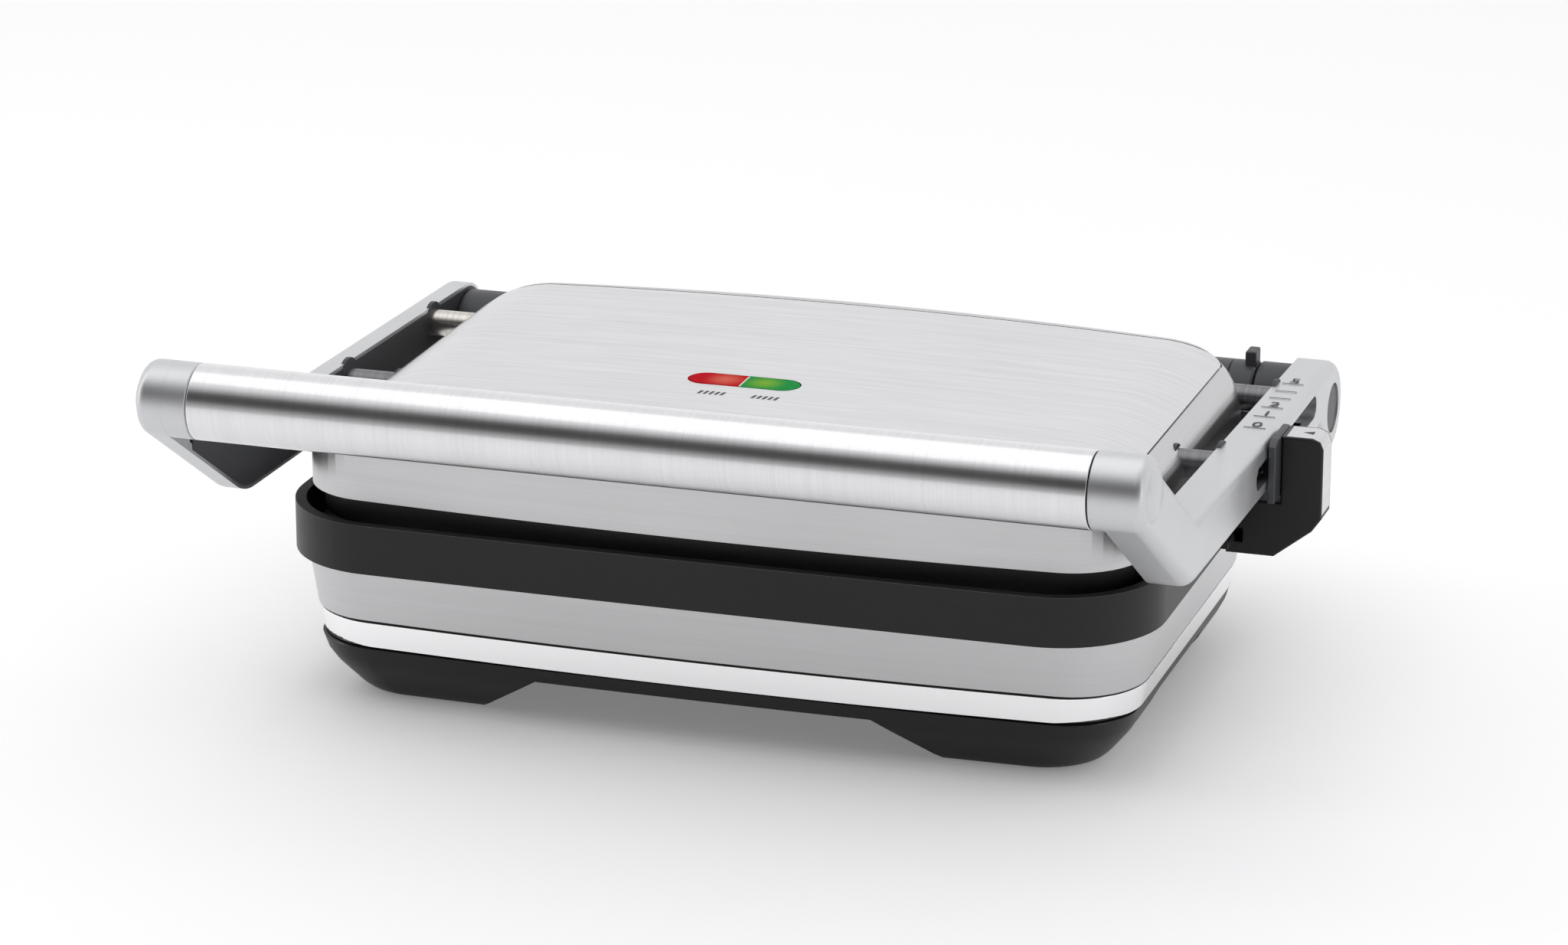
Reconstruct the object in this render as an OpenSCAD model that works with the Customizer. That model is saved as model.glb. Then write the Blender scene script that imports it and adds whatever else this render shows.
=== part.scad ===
// Panini press: a two-plate contact grill with a floating lid on a V-shaped arm frame.
// Front faces -Y, right is +X, up is +Z, and Z = 0 is the table top. Millimetres.

/* [Body] */
// Width over the black bezel ring
ring_w = 320; // [300:1:340]
// Depth over the black bezel ring
ring_d = 211.6; // [200:0.2:224]
// Height of the table-to-bezel body, to the underside of the bezel ring
ring_z = 54; // [52:0.5:58]
// Height of the bezel ring
ring_h = 18; // [16:0.5:20]
// Width at the top of the polished strip
band_w = 307.6; // [290:0.2:312]
// Depth at the top of the polished strip
band_d = 191.8; // [180:0.2:200]

/* [Lid] */
// Width of the lid shell
lid_w = 306.8; // [290:0.2:312]
// Depth of the lid shell
lid_d = 198.7; // [188:0.1:206]
// Underside of the lid shell above the table
lid_z = 78; // [76:0.5:82]
// Crown of the lid above the table
crown_z = 109; // [106:0.5:112]
// Width of the brushed top panel, seam to seam
panel_w = 285.6; // [270:0.2:290]
// Outward bulge of the lid's long sides
lid_bow = 6.4; // [2:0.2:8]

/* [Plates] */
// Width of each cooking plate
plate_w = 284; // [270:1:286]
// Depth of each cooking plate
plate_d = 176; // [166:1:178]
// Spacing of the grill ribs
rib_pitch = 11; // [9:0.5:14]
// Top of the lower ribs above the table
lower_rib_z = 63; // [61:0.5:64]
// Bottom of the upper ribs above the table
upper_rib_z = 70; // [69:0.5:72]

/* [Arms and handle] */
// Outer faces of the two arms, side to side
arms_w = 355; // [350:1:360]
// Thickness of the left arm
left_arm_t = 10.5; // [9:0.5:12]
// Thickness of the right arm
right_arm_t = 14.5; // [13:0.5:15]
// Radius of the handle tube
tube_r = 13.3; // [12:0.1:15]
// Length of the handle tube, seam to seam
tube_len = 316; // [306:1:322]
// Distance of the handle tube's axis in front of the body's middle
tube_y = 158.4; // [150:0.2:165]
// Height of the handle tube's axis above the table
tube_z = 130.6; // [126:0.2:135]
// Slope of the arms' front legs, in degrees
leg_slope = 32.5; // [30:0.5:36]

/* [Hinge] */
// Distance of the hinge axis behind the body's middle
pivot_y = 117.5; // [116:0.5:120]
// Height of the hinge axis above the table
pivot_z = 78; // [77:0.5:80]
// Radius of the hinge beam
beam_r = 15; // [13:0.5:15]
// Radius of the hinge shafts and of the lid pins
pin_r = 5; // [4:0.25:5.5]
// Running clearance of a pin in its bush, on the radius
pin_fit = 0.05; // [0.02:0.01:0.1]

/* [Height slider] */
// Front of the slider block behind the body's middle
slider_y = 15; // [12:1:20]
// Depth of the slider block, front to back
slider_d = 15; // [12:1:18]
// Outer side of the slider block from the body's middle
slider_x = 196; // [190:1:198]

/* [Hidden] */
// The frame's origin lies on the table under the middle of the whole press, and the body's
// middle is moved from it, because the handle and the slider reach past the body.
body_x = -8.2;
body_y = 18.4;

$fn = 64;

// Radii and bulges of the body's rounded-rectangle outlines
ring_r = 38;
ring_bow = 1.5;
ring_wall = 4;
band_r = 25.4;
band_bow = 5.6;
strip_z = 21.7;
strip_h = 9.9;
satin_flare = 5.4;
tray_floor_z = 16.4;
tub_in = 5;
tub_wall = 2.5;
lid_r = 25;
lid_wall = 2;
panel_t = 1;
panel_d = 184;
panel_r = 6;
panel_gap = 0.4;
skirt_w = lid_w - 7.8;
skirt_d = lid_d - 7.7;
skirt_wall = 2.5;
skirt_z = 68;

// Feet: blocks that taper to a sloped toe, with a rubber pad in each
foot_x = 112;
foot_y = 65;
foot_inner_x = 86;
foot_inner_y = 42;
pad_h = 4;
base_screw_x = 50;
base_screw_y = 44;

// Lid pins and the stop pins behind them
lid_pin_y = -4;
lid_pin_z = 91.5;
stop_pin_y = 82;
stop_pin_z = 90;
pin_inner_x = 143;
stop_pin_outer_x = 170.4;
stop_slot_half = 4.6;
bush_r = 6.6;
bush_x = 137;
bush_end_x = 148;
screw_r = 1.9;

// Arms
arm_wall = 3;
arm_top_z = 102.1;
arm_top_y = -94;
arm_fall = 0.03;
leg_above = 10.5;
elbow_r = 30;
arm_low_z = 78.3;
arm_low_fall = 0.02;
head_r = 17.4;
heel_y = 96;
outer_x = arms_w / 2;
cap_bulge = 2;
cap_recess = 1.2;
pivot_cap_r = 9.4;
liner_t = 1.6;
liner_set = 0.4;
hub_x = 149.2;
beam_x = 148.8;
tab_x = 144.5;
tab_w = 8;
tab_h = 8;
post_in_x = 100;
post_out_x = 132;
gland_x = 60;
gland_z = 43;

// Slot in the right arm for the height slider, and the lock catch
slot_r = 4.25;
slot_z = 88;
slot_front = -4;
slot_back = 84;
leg_in_x = 161.5;
block_in_x = 181;
block_top_z = 98.2;
block_low_z = 53;
block_corner = 4;
trim_t = 1.2;
trim_low_z = 70;
shoe_x = 171.1;
strip_top_z = 81.6;
catch_z = 58.5;
catch_h = 3;

// Indicator window in the top panel
lamp_x = -10;
lamp_y = -13.4;
lamp_len = 42;
lamp_w = 13.5;

// ---- Outlines -------------------------------------------------------------------------

corner_steps = 8;
side_steps = 6;

// One quarter of a rounded rectangle's outline, with a bulged long side and a straight end
function quarter(w, d, r, bow, sx, sy) =
    let (cx = w / 2 - r, cy = d / 2 - r - bow)
    [for (i = [0 : corner_steps])
        let (a = 90 * i / corner_steps)
        [sx * (cx + r * cos(a)), sy * (cy + r * sin(a) + bow * (1 - pow((cx + r * cos(a)) * 2 / w, 2)))]];

function reversed(list) = [for (i = [len(list) - 1 : -1 : 0]) list[i]];

// Points of the bulged side between two corners, left out at both ends
function long_side(w, d, r, bow, sy) =
    let (cx = w / 2 - r)
    [for (i = [1 : side_steps - 1])
        let (x = -cx + 2 * cx * i / side_steps)
        [x, sy * (d / 2 - bow + bow * (1 - pow(x * 2 / w, 2)))]];

// Rounded rectangle, counter-clockwise from the right end of the back corner
function slab(w, d, r, bow) = concat(
    quarter(w, d, r, bow, 1, 1),
    reversed(long_side(w, d, r, bow, 1)),
    reversed(quarter(w, d, r, bow, -1, 1)),
    quarter(w, d, r, bow, -1, -1),
    long_side(w, d, r, bow, -1),
    reversed(quarter(w, d, r, bow, 1, -1)));

// A solid through a stack of outlines: levels = [[z, w, d, r, bow], ...] from the bottom up
module loft(levels) {
    rings = [for (v = levels) [for (p = slab(v[1], v[2], v[3], v[4])) [p[0], p[1], v[0]]]];
    n = len(rings[0]);
    last = len(levels) - 1;
    polyhedron(
        points = [for (ring = rings) each ring],
        faces = concat(
            [[for (i = [0 : n - 1]) i]],
            [for (k = [0 : last - 1], i = [0 : n - 1])
                [k * n + i, (k + 1) * n + i, (k + 1) * n + (i + 1) % n, k * n + (i + 1) % n]],
            [[for (i = [n - 1 : -1 : 0]) last * n + i]]));
}

module plate_shape(w, d, r, bow, z, h) {
    translate([0, 0, z]) linear_extrude(h) polygon(slab(w, d, r, bow));
}

module placed() {
    translate([body_x, body_y, 0]) children();
}

// A cylinder along +X from x1 to x2
module x_rod(x1, x2, r, y, z) {
    translate([x1, y, z]) rotate([0, 90, 0]) cylinder(h = x2 - x1, r = r);
}

// A cylinder along +Y from y1 to y2
module y_rod(x, y1, y2, r, z) {
    translate([x, y1, z]) rotate([-90, 0, 0]) cylinder(h = y2 - y1, r = r);
}

// A prism along X from a side view outline given as [y, z] points
module side_prism(x1, x2) {
    translate([x1, 0, 0]) rotate([90, 0, 90]) linear_extrude(x2 - x1) children();
}

module both_sides() {
    children();
    mirror([1, 0, 0]) children();
}

module four_corners(x, y) {
    for (sx = [-1, 1], sy = [-1, 1]) translate([sx * x, sy * y, 0]) children();
}

// ---- Base -----------------------------------------------------------------------------

module tray_block() {
    loft([[1.2, band_w - 30.6, band_d - 24.8, 22, 3],
          [6, band_w - 22, band_d - 17, 24, 4],
          [12, band_w - 12.6, band_d - 8.8, 25, 5],
          [tray_floor_z, band_w - 8, band_d - 3.8, 26, 5.4],
          [strip_z, band_w - 5.2, band_d - 1, 26, band_bow]]);
}

module base_tray() {
    reach = 220;
    color("#26262a") placed() {
        difference() {
            tray_block();
            // The tray stands clear of the table between its four feet
            rotate([90, 0, 0]) linear_extrude(reach, center = true)
                polygon([[-62, tray_floor_z], [62, tray_floor_z],
                         [foot_inner_x + 1, 0], [-foot_inner_x - 1, 0]]);
            rotate([90, 0, 90]) linear_extrude(2 * reach, center = true)
                polygon([[-32, tray_floor_z], [32, tray_floor_z],
                         [foot_inner_y + 1, 0], [-foot_inner_y - 1, 0]]);
            plate_shape(band_w - 14, band_d - 12, 22, 4, tray_floor_z + 2.6, 10);
            four_corners(foot_x, foot_y) cylinder(h = pad_h, r = 12.2);
            four_corners(base_screw_x, base_screw_y) translate([0, 0, tray_floor_z - 1])
                cylinder(h = 5, r = 2.1);
        }
        difference() {
            plate_shape(band_w - 2 * tub_in, band_d - 2 * tub_in, 22, 4, strip_z - 2, ring_z - strip_z + 2);
            plate_shape(band_w - 2 * tub_in - 2 * tub_wall, band_d - 2 * tub_in - 2 * tub_wall,
                        20, 4, strip_z - 3, ring_z);
            gland_hole();
        }
    }
}

module rubber_feet() {
    color("#111113") placed() four_corners(foot_x, foot_y)
        cylinder(h = pad_h, r = 12);
}

module polished_band() {
    color("#e8e8ea") placed() difference() {
        loft([[strip_z, band_w - 4, band_d - 0.6, 27, 4],
              [strip_z + strip_h, band_w, band_d, band_r, band_bow]]);
        plate_shape(band_w - 2 * tub_in + 1, band_d - 2 * tub_in + 1, 22, 4, strip_z - 1, strip_h + 2);
    }
}

module satin_band() {
    color("#b4b4b6") placed() difference() {
        loft([[strip_z + strip_h, band_w, band_d, band_r, band_bow],
              [ring_z, band_w + satin_flare, band_d + satin_flare, band_r + 2, band_bow]]);
        plate_shape(band_w - 2 * tub_in + 1, band_d - 2 * tub_in + 1, 22, 4, strip_z, ring_z);
        gland_hole();
    }
}

module bezel_ring() {
    color("#2a2a2c") placed() difference() {
        plate_shape(ring_w, ring_d, ring_r, ring_bow, ring_z, ring_h);
        plate_shape(ring_w - 2 * ring_wall, ring_d - 2 * ring_wall, ring_r - ring_wall, ring_bow,
                    ring_z + 5, ring_h);
        plate_shape(plate_w - 8, plate_d - 8, 20, 0, ring_z - 1, ring_h);
    }
}

// One cooking plate lying with its ribs up: deck from z = 0, rim and ribs above it
module grill_plate(deck_h, rim_h, rib_h) {
    ribs = floor((plate_w - 26) / rib_pitch / 2);
    difference() {
        plate_shape(plate_w, plate_d, 20, 0, 0, rim_h);
        plate_shape(plate_w - 10, plate_d - 10, 16, 0, deck_h, rim_h);
    }
    for (i = [-ribs : ribs]) translate([i * rib_pitch, 0, 0])
        rotate([90, 0, 0]) linear_extrude(plate_d - 22, center = true)
            polygon([[-2.6, deck_h - 0.5], [2.6, deck_h - 0.5], [1.7, rib_h], [-1.7, rib_h]]);
}

module lower_plate() {
    color("#3c3c3e") placed() translate([0, 0, ring_z + 5.2])
        grill_plate(1.6, lower_rib_z - ring_z - 4.6, lower_rib_z - ring_z - 5.2);
}

// A U-shaped tubular heater with its two cold ends turned to the back
module heater(z) {
    half_w = 104;
    half_d = 52;
    r = 3.3;
    bend = 24;
    translate([0, 0, z]) {
        y_rod(-half_w, -half_d + bend, half_d + 20, r, 0);
        y_rod(half_w, -half_d + bend, half_d + 20, r, 0);
        x_rod(-half_w + bend, half_w - bend, r, -half_d, 0);
        translate([half_w - bend, -half_d + bend, 0]) rotate([0, 0, -90])
            rotate_extrude(angle = 90) translate([bend, 0]) circle(r);
        translate([-half_w + bend, -half_d + bend, 0]) rotate([0, 0, 180])
            rotate_extrude(angle = 90) translate([bend, 0]) circle(r);
    }
}

module lower_element() {
    color("#6d6a66") placed() heater(ring_z + 1.6);
}

module shield(z) {
    translate([0, 0, z]) difference() {
        plate_shape(plate_w - 20, plate_d - 20, 16, 0, 0, 3);
        plate_shape(plate_w - 22, plate_d - 22, 15, 0, 0.8, 3);
    }
}

module lower_heat_shield() {
    color("#c4c4c8") placed() shield(ring_z - 10);
}

module thermostat_body(z) {
    translate([40, 0, z]) {
        cylinder(h = 5, r = 9);
        translate([0, 0, 1]) linear_extrude(1) polygon([[-15, -3], [15, -3], [15, 3], [-15, 3]]);
    }
}

module lower_thermostat() {
    color("#ddd8cc") placed() thermostat_body(ring_z);
}

module thermal_fuse() {
    color("#c9b26a") placed() y_rod(-40, -14, 14, 2.4, ring_z + 1.4);
}

module terminal_block() {
    color("#e6e2d6") placed() translate([60, 66, tray_floor_z + 2.6]) difference() {
        translate([-18, -8, 0]) cube([36, 16, 15]);
        for (i = [-1 : 1]) translate([i * 11, 0, 8]) cylinder(h = 8, r = 2.6);
    }
}

// The beam along the hinge axis, cut away where the bezel ring passes in front of it
module hinge_beam() {
    color("#3b3c40") placed() difference() {
        union() {
            x_rod(-beam_x, beam_x, beam_r, pivot_y, pivot_z);
            translate([tab_x, pivot_y - tab_w / 2, pivot_z + beam_r - 3])
                cube([beam_x - tab_x, tab_w, tab_h]);
        }
        translate([-ring_w, 0, 0]) cube([2 * ring_w, ring_d / 2 + 0.4, ring_z + ring_h + 0.4]);
        both_sides() x_rod(post_in_x, beam_x + 1, pin_r + pin_fit, pivot_y, pivot_z);
    }
}

module hinge_post() {
    front = band_d / 2 + 0.7;
    back = ring_d / 2 + 0.4;
    difference() {
        side_prism(post_in_x, post_out_x) polygon([
            [front, 34], [front, ring_z - 0.4], [back, ring_z - 0.4], [back, pivot_z - 4],
            [pivot_y + 13, pivot_z - 4], [pivot_y + 13, 58], [pivot_y + 5, 40]]);
        x_rod(post_in_x - 1, post_out_x + 1, beam_r + 0.1, pivot_y, pivot_z);
    }
}

module hinge_post_left() {
    color("#303136") placed() mirror([1, 0, 0]) hinge_post();
}

module hinge_post_right() {
    color("#303136") placed() hinge_post();
}

module hinge_shaft() {
    x_rod(post_in_x + 0.2, outer_x - arm_wall - 0.9, pin_r, pivot_y, pivot_z);
}

module hinge_shaft_left() {
    color("#9a9a9e") placed() mirror([1, 0, 0]) hinge_shaft();
}

module hinge_shaft_right() {
    color("#9a9a9e") placed() hinge_shaft();
}

// The lug that the slider's pocket closes round when the slider is pushed fully forward
module lock_catch() {
    color("#2a2a2c") placed() translate([ring_w / 2 + 0.1, slider_y - 13, catch_z])
        cube([5.4, 10, catch_h]);
}

module gland_hole() {
    y_rod(gland_x, band_d / 2 - 20, band_d / 2 + 20, 6.2, gland_z);
}

module cord_gland() {
    inner_y = band_d / 2 - 11;
    outer_y = band_d / 2 + 2.2;
    color("#1c1c1e") placed() difference() {
        union() {
            y_rod(gland_x, inner_y, outer_y + 4, 6, gland_z);
            y_rod(gland_x, outer_y, outer_y + 4, 9, gland_z);
        }
        y_rod(gland_x, inner_y - 1, outer_y + 5, 3.6, gland_z);
    }
}

module pan_screw(len) {
    cylinder(h = 2.2, r = 3.6);
    translate([0, 0, 2.2]) cylinder(h = len, r = screw_r);
}

module base_screws() {
    color("#b8b8bc") placed() four_corners(base_screw_x, base_screw_y)
        translate([0, 0, tray_floor_z - 2.3]) pan_screw(8);
}

// ---- Arms and handle ------------------------------------------------------------------

leg_dir = [cos(leg_slope), -sin(leg_slope)];
leg_up = [sin(leg_slope), cos(leg_slope)];
tube_c = [-tube_y, tube_z];
pivot_c = [pivot_y, pivot_z];

function arc(c, r, a0, a1, n) =
    [for (i = [0 : n]) let (a = a0 + (a1 - a0) * i / n) c + r * [cos(a), sin(a)]];

// Where the line through p along u meets the line through q along v
function meet(p, u, q, v) =
    let (k = u[0] * v[1] - u[1] * v[0], w = q - p) p + u * ((w[0] * v[1] - w[1] * v[0]) / k);

// Side view of an arm, drawn e inside its true outline
function arm_side(e) =
    let (
        top_dir = [cos(atan(arm_fall)), -sin(atan(arm_fall))],
        low_dir = [cos(atan(arm_low_fall)), -sin(atan(arm_low_fall))],
        upper = tube_c + leg_up * (leg_above - e),
        lower = tube_c - leg_up * (tube_r - e),
        top = [arm_top_y, arm_top_z - e],
        low = [0, arm_low_z - arm_low_fall * 90 + e],
        notch = meet(upper, leg_dir, top, top_dir),
        corner = meet(lower, leg_dir, low, low_dir),
        a_cap = 90 - leg_slope - acos((leg_above - e) / (tube_r - e)),
        a_leg = 270 - leg_slope,
        a_low = 270 - atan(arm_low_fall),
        r_e = elbow_r,
        elbow_c = meet(corner + r_e * [sin(leg_slope), cos(leg_slope)], leg_dir,
                       corner + r_e * [-low_dir[1], low_dir[0]], low_dir))
    concat(
        arc(tube_c, tube_r - e, a_leg, a_cap, 18),
        [notch],
        arc(pivot_c, head_r - e, 90, -128, 18),
        [[heel_y, low[1] - arm_low_fall * heel_y]],
        arc(elbow_c, r_e, a_low, a_leg, 6));

module arm_casting(x_in) {
    wall_in = outer_x - arm_wall;
    difference() {
        union() {
            difference() {
                union() {
                    side_prism(x_in, outer_x) polygon(arm_side(0));
                    // The round end cap that carries on from the handle tube
                    x_rod(tube_len / 2 + 0.15, outer_x, tube_r, -tube_y, tube_z);
                    translate([outer_x, -tube_y, tube_z]) rotate([0, 90, 0])
                        cylinder(h = cap_bulge, r1 = tube_r, r2 = tube_r - 3);
                }
                // Hollow on the lid's side, ending ahead where the handle tube is held
                side_prism(x_in - 1, wall_in) intersection() {
                    polygon(arm_side(arm_wall));
                    translate([-tube_y + 10, 0]) square([400, 200]);
                }
            }
            // Bosses round the hinge shaft and the two lid pins; the stop pin's hangs from the
            // top wall, so that the slider's shoe passes outside it
            x_rod(x_in + 2.4, wall_in + 0.5, 10, pivot_y, pivot_z);
            x_rod(x_in + 2.4, wall_in + 0.5, 7.5, lid_pin_y, lid_pin_z - 2);
            x_rod(x_in + 2.4, stop_pin_outer_x + 0.1, 7, stop_pin_y, stop_pin_z - 1);
        }
        x_rod(outer_x - cap_recess, outer_x + 1, pivot_cap_r, pivot_y, pivot_z);
        x_rod(tube_len / 2 - 1, tube_len / 2 + 12, 3.1, -tube_y, tube_z);
        x_rod(x_in - 1, wall_in - 0.4, pin_r + pin_fit, pivot_y, pivot_z);
        x_rod(x_in - 1, wall_in - 0.4, pin_r, lid_pin_y, lid_pin_z);
        x_rod(x_in - 1, stop_pin_outer_x + 0.3, pin_r, stop_pin_y, stop_pin_z);
    }
}

module left_arm() {
    color("#c9cacc") placed() mirror([1, 0, 0]) arm_casting(outer_x - left_arm_t);
}

module right_arm() {
    color("#c9cacc") placed() difference() {
        arm_casting(outer_x - right_arm_t);
        // Slot for the height slider
        side_prism(outer_x - arm_wall - 0.5, outer_x + 1) slider_slot();
    }
}

module slider_slot() {
    translate([slot_front, slot_z - slot_r]) square([slot_back - slot_front, 2 * slot_r]);
    translate([slot_front, slot_z]) circle(slot_r);
    translate([slot_back, slot_z]) circle(slot_r);
}

// Dark cover that closes an arm's hollow on the side towards the lid
module arm_liner(x_in) {
    difference() {
        side_prism(x_in + liner_set, x_in + liner_set + liner_t) intersection() {
            polygon(arm_side(arm_wall + 0.3));
            translate([-tube_y + 12, 0]) square([400, 200]);
        }
        x_rod(x_in, x_in + 5, pin_r + 0.5, pivot_y, pivot_z);
        x_rod(x_in, x_in + 5, pin_r + 0.3, lid_pin_y, lid_pin_z);
        x_rod(x_in, x_in + 5, pin_r + 0.3, stop_pin_y, stop_pin_z);
    }
}

module left_arm_liner() {
    color("#2c2d30") placed() mirror([1, 0, 0]) arm_liner(outer_x - left_arm_t);
}

module right_arm_liner() {
    color("#2c2d30") placed() arm_liner(outer_x - right_arm_t);
}

module handle_tube() {
    color("#d6d7d9") placed() difference() {
        x_rod(-tube_len / 2, tube_len / 2, tube_r, -tube_y, tube_z);
        x_rod(-tube_len / 2 - 1, tube_len / 2 + 1, tube_r - 1.5, -tube_y, tube_z);
    }
}

module handle_tie_rod() {
    color("#8e8f93") placed() x_rod(-tube_len / 2 - 11.5, tube_len / 2 + 11.5, 3, -tube_y, tube_z);
}

module hinge_hub(x_in) {
    difference() {
        x_rod(hub_x, x_in - 0.1, beam_r, pivot_y, pivot_z);
        x_rod(hub_x - 1, x_in + 1, pin_r + pin_fit, pivot_y, pivot_z);
    }
}

module hinge_hub_left() {
    color("#3b3c40") placed() mirror([1, 0, 0]) hinge_hub(outer_x - left_arm_t);
}

module hinge_hub_right() {
    color("#3b3c40") placed() hinge_hub(outer_x - right_arm_t);
}

module pivot_cap() {
    x_rod(outer_x - cap_recess + 0.1, outer_x - 0.3, pivot_cap_r - 0.2, pivot_y, pivot_z);
}

module pivot_cap_left() {
    color("#77797d") placed() mirror([1, 0, 0]) pivot_cap();
}

module pivot_cap_right() {
    color("#77797d") placed() pivot_cap();
}

module lid_pin() {
    x_rod(pin_inner_x, outer_x - arm_wall - 0.6, pin_r, lid_pin_y, lid_pin_z);
}

module stop_pin() {
    x_rod(pin_inner_x, stop_pin_outer_x, pin_r, stop_pin_y, stop_pin_z);
}

module lid_pin_left() {
    color("#d8cdb8") placed() mirror([1, 0, 0]) lid_pin();
}

module lid_pin_right() {
    color("#55565a") placed() lid_pin();
}

module stop_pin_left() {
    color("#d8cdb8") placed() mirror([1, 0, 0]) stop_pin();
}

module stop_pin_right() {
    color("#55565a") placed() stop_pin();
}

// ---- Lid ------------------------------------------------------------------------------

roll_start = lid_w / 2 - 35.4;
roll_h = 23;
roll_steps = 9;

// Height of the lid's top at x from its middle: nearly flat, then rolling down to the side
function crown(x) = crown_z - 1.7 * pow(x / roll_start, 2);

function roof_points(e) =
    let (
        a = lid_w / 2 - roll_start - e,
        b = roll_h - e,
        foot = crown(roll_start) - roll_h,
        roll = [for (i = [0 : roll_steps])
            let (t = 90 * i / roll_steps) [roll_start + a * cos(t), foot + b * sin(t)]],
        flat = [for (x = [roll_start * 2 / 3, roll_start / 3]) [x, crown(x) - e]])
    concat(roll, flat, [[0, crown_z - e]], [for (p = reversed(concat(roll, flat))) [-p[0], p[1]]]);

// The lid's outer form drawn e inside itself, from z up to the roof
module lid_form(e, z) {
    roof = roof_points(e);
    intersection() {
        rotate([90, 0, 0]) linear_extrude(lid_d + 20, center = true)
            polygon(concat([[-lid_w / 2 + e, z], [lid_w / 2 - e, z]], roof));
        plate_shape(lid_w - 2 * e, lid_d - 2 * e, lid_r - e, lid_bow, z - 5, crown_z);
    }
}

module stadium(len, w) {
    half = (len - w) / 2;
    square([2 * half, w], center = true);
    for (s = [-1, 1]) translate([s * half, 0]) circle(w / 2);
}

module lamp_window(grow, z, h) {
    translate([lamp_x, lamp_y, z]) linear_extrude(h) stadium(lamp_len + 2 * grow, lamp_w + 2 * grow);
}

module lid_shell() {
    color("#b9b9bb") placed() difference() {
        lid_form(0, lid_z);
        lid_form(lid_wall, lid_z - 2);
        difference() {
            plate_shape(panel_w + panel_gap, panel_d + panel_gap, panel_r, lid_bow / 2, lid_z + 10, 60);
            lid_form(panel_t, lid_z - 2);
        }
        lamp_window(0.5, crown_z - 10, 20);
        both_sides() {
            x_rod(bush_x, lid_w / 2 + 1, bush_r + 0.1, lid_pin_y, lid_pin_z);
            translate([lid_w / 2 - 20, stop_pin_y, stop_pin_z]) rotate([90, 0, 90]) linear_extrude(30)
                rotate(90) stadium(2 * (pin_r + stop_slot_half), 2 * (pin_r + 1.2));
        }
    }
}

module top_panel() {
    color("#d0d1d3") placed() difference() {
        intersection() {
            lid_form(0, lid_z);
            plate_shape(panel_w - panel_gap, panel_d - panel_gap, panel_r, lid_bow / 2, lid_z + 10, 60);
        }
        lid_form(panel_t, lid_z - 2);
        lamp_window(0, crown_z - 10, 20);
    }
}

module lens_half(side) {
    difference() {
        intersection() {
            lamp_window(-0.2, crown_z - 4, 4.2);
            translate([lamp_x + (side > 0 ? 0.2 : -40.2), lamp_y - 20, crown_z - 5]) cube([40, 40, 10]);
        }
        translate([lamp_x - 30, lamp_y - lamp_w / 2 + 1.6, crown_z - 5]) cube([60, lamp_w - 3.2, 3]);
    }
}

module power_lens() {
    color("#c62127") placed() lens_half(-1);
}

module ready_lens() {
    color("#2f9a48") placed() lens_half(1);
}

module lamp_holder() {
    color("#e9e6dc") placed() difference() {
        lamp_window(1.8, crown_z - 12, 7.2);
        for (s = [-1, 1]) translate([lamp_x + s * 10, lamp_y, crown_z - 10.5])
            linear_extrude(10) stadium(14, 8);
    }
}

module lamps() {
    color("#f2c9a0") placed() for (s = [-1, 1])
        x_rod(lamp_x + s * 10 - 5, lamp_x + s * 10 + 5, 2.4, lamp_y, crown_z - 8);
}

module lid_skirt() {
    color("#1d1d1f") placed() {
        difference() {
            plate_shape(skirt_w, skirt_d, lid_r - 1, lid_bow - 1, skirt_z, lid_z - skirt_z + 3);
            plate_shape(skirt_w - 2 * skirt_wall, skirt_d - 2 * skirt_wall, lid_r - 3, lid_bow - 1,
                        skirt_z - 1, lid_z - skirt_z + 10);
        }
        difference() {
            plate_shape(skirt_w - 1, skirt_d - 1, lid_r - 1, lid_bow - 1, lid_z - 0.4, 3.4);
            plate_shape(plate_w - 8, plate_d - 8, 20, 0, lid_z - 3, 10);
            four_corners(plate_w / 2 - 1.5, plate_d / 2 - 40) translate([0, 0, lid_z - 3])
                cylinder(h = 10, r = screw_r + 0.1);
        }
    }
}

module upper_plate() {
    color("#3c3c3e") placed() translate([0, 0, lid_z - 0.8]) mirror([0, 0, 1])
        grill_plate(lid_z - upper_rib_z - 3.6, lid_z - upper_rib_z - 1.4, lid_z - upper_rib_z - 0.8);
}

module upper_element() {
    color("#6d6a66") placed() heater(lid_z + 3);
}

module upper_heat_shield() {
    color("#c4c4c8") placed() shield(lid_z + 8);
}

module upper_thermostat() {
    color("#ddd8cc") placed() thermostat_body(lid_z);
}

// Black bush that turns on the lid pin, with its collar against the lid's side
module lid_bush() {
    difference() {
        union() {
            x_rod(bush_x - 0.5, bush_end_x, bush_r, lid_pin_y, lid_pin_z);
            x_rod(bush_x - 3.5, bush_x, bush_r + 1.5, lid_pin_y, lid_pin_z);
        }
        x_rod(pin_inner_x - 0.5, bush_end_x + 1, pin_r + pin_fit, lid_pin_y, lid_pin_z);
    }
}

module lid_bush_left() {
    color("#222224") placed() mirror([1, 0, 0]) lid_bush();
}

module lid_bush_right() {
    color("#222224") placed() lid_bush();
}

module lid_screws() {
    color("#b8b8bc") placed() four_corners(plate_w / 2 - 1.5, plate_d / 2 - 40)
        translate([0, 0, lid_z + 5.3]) mirror([0, 0, 1]) pan_screw(3.7);
}

// ---- Height slider --------------------------------------------------------------------

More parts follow.
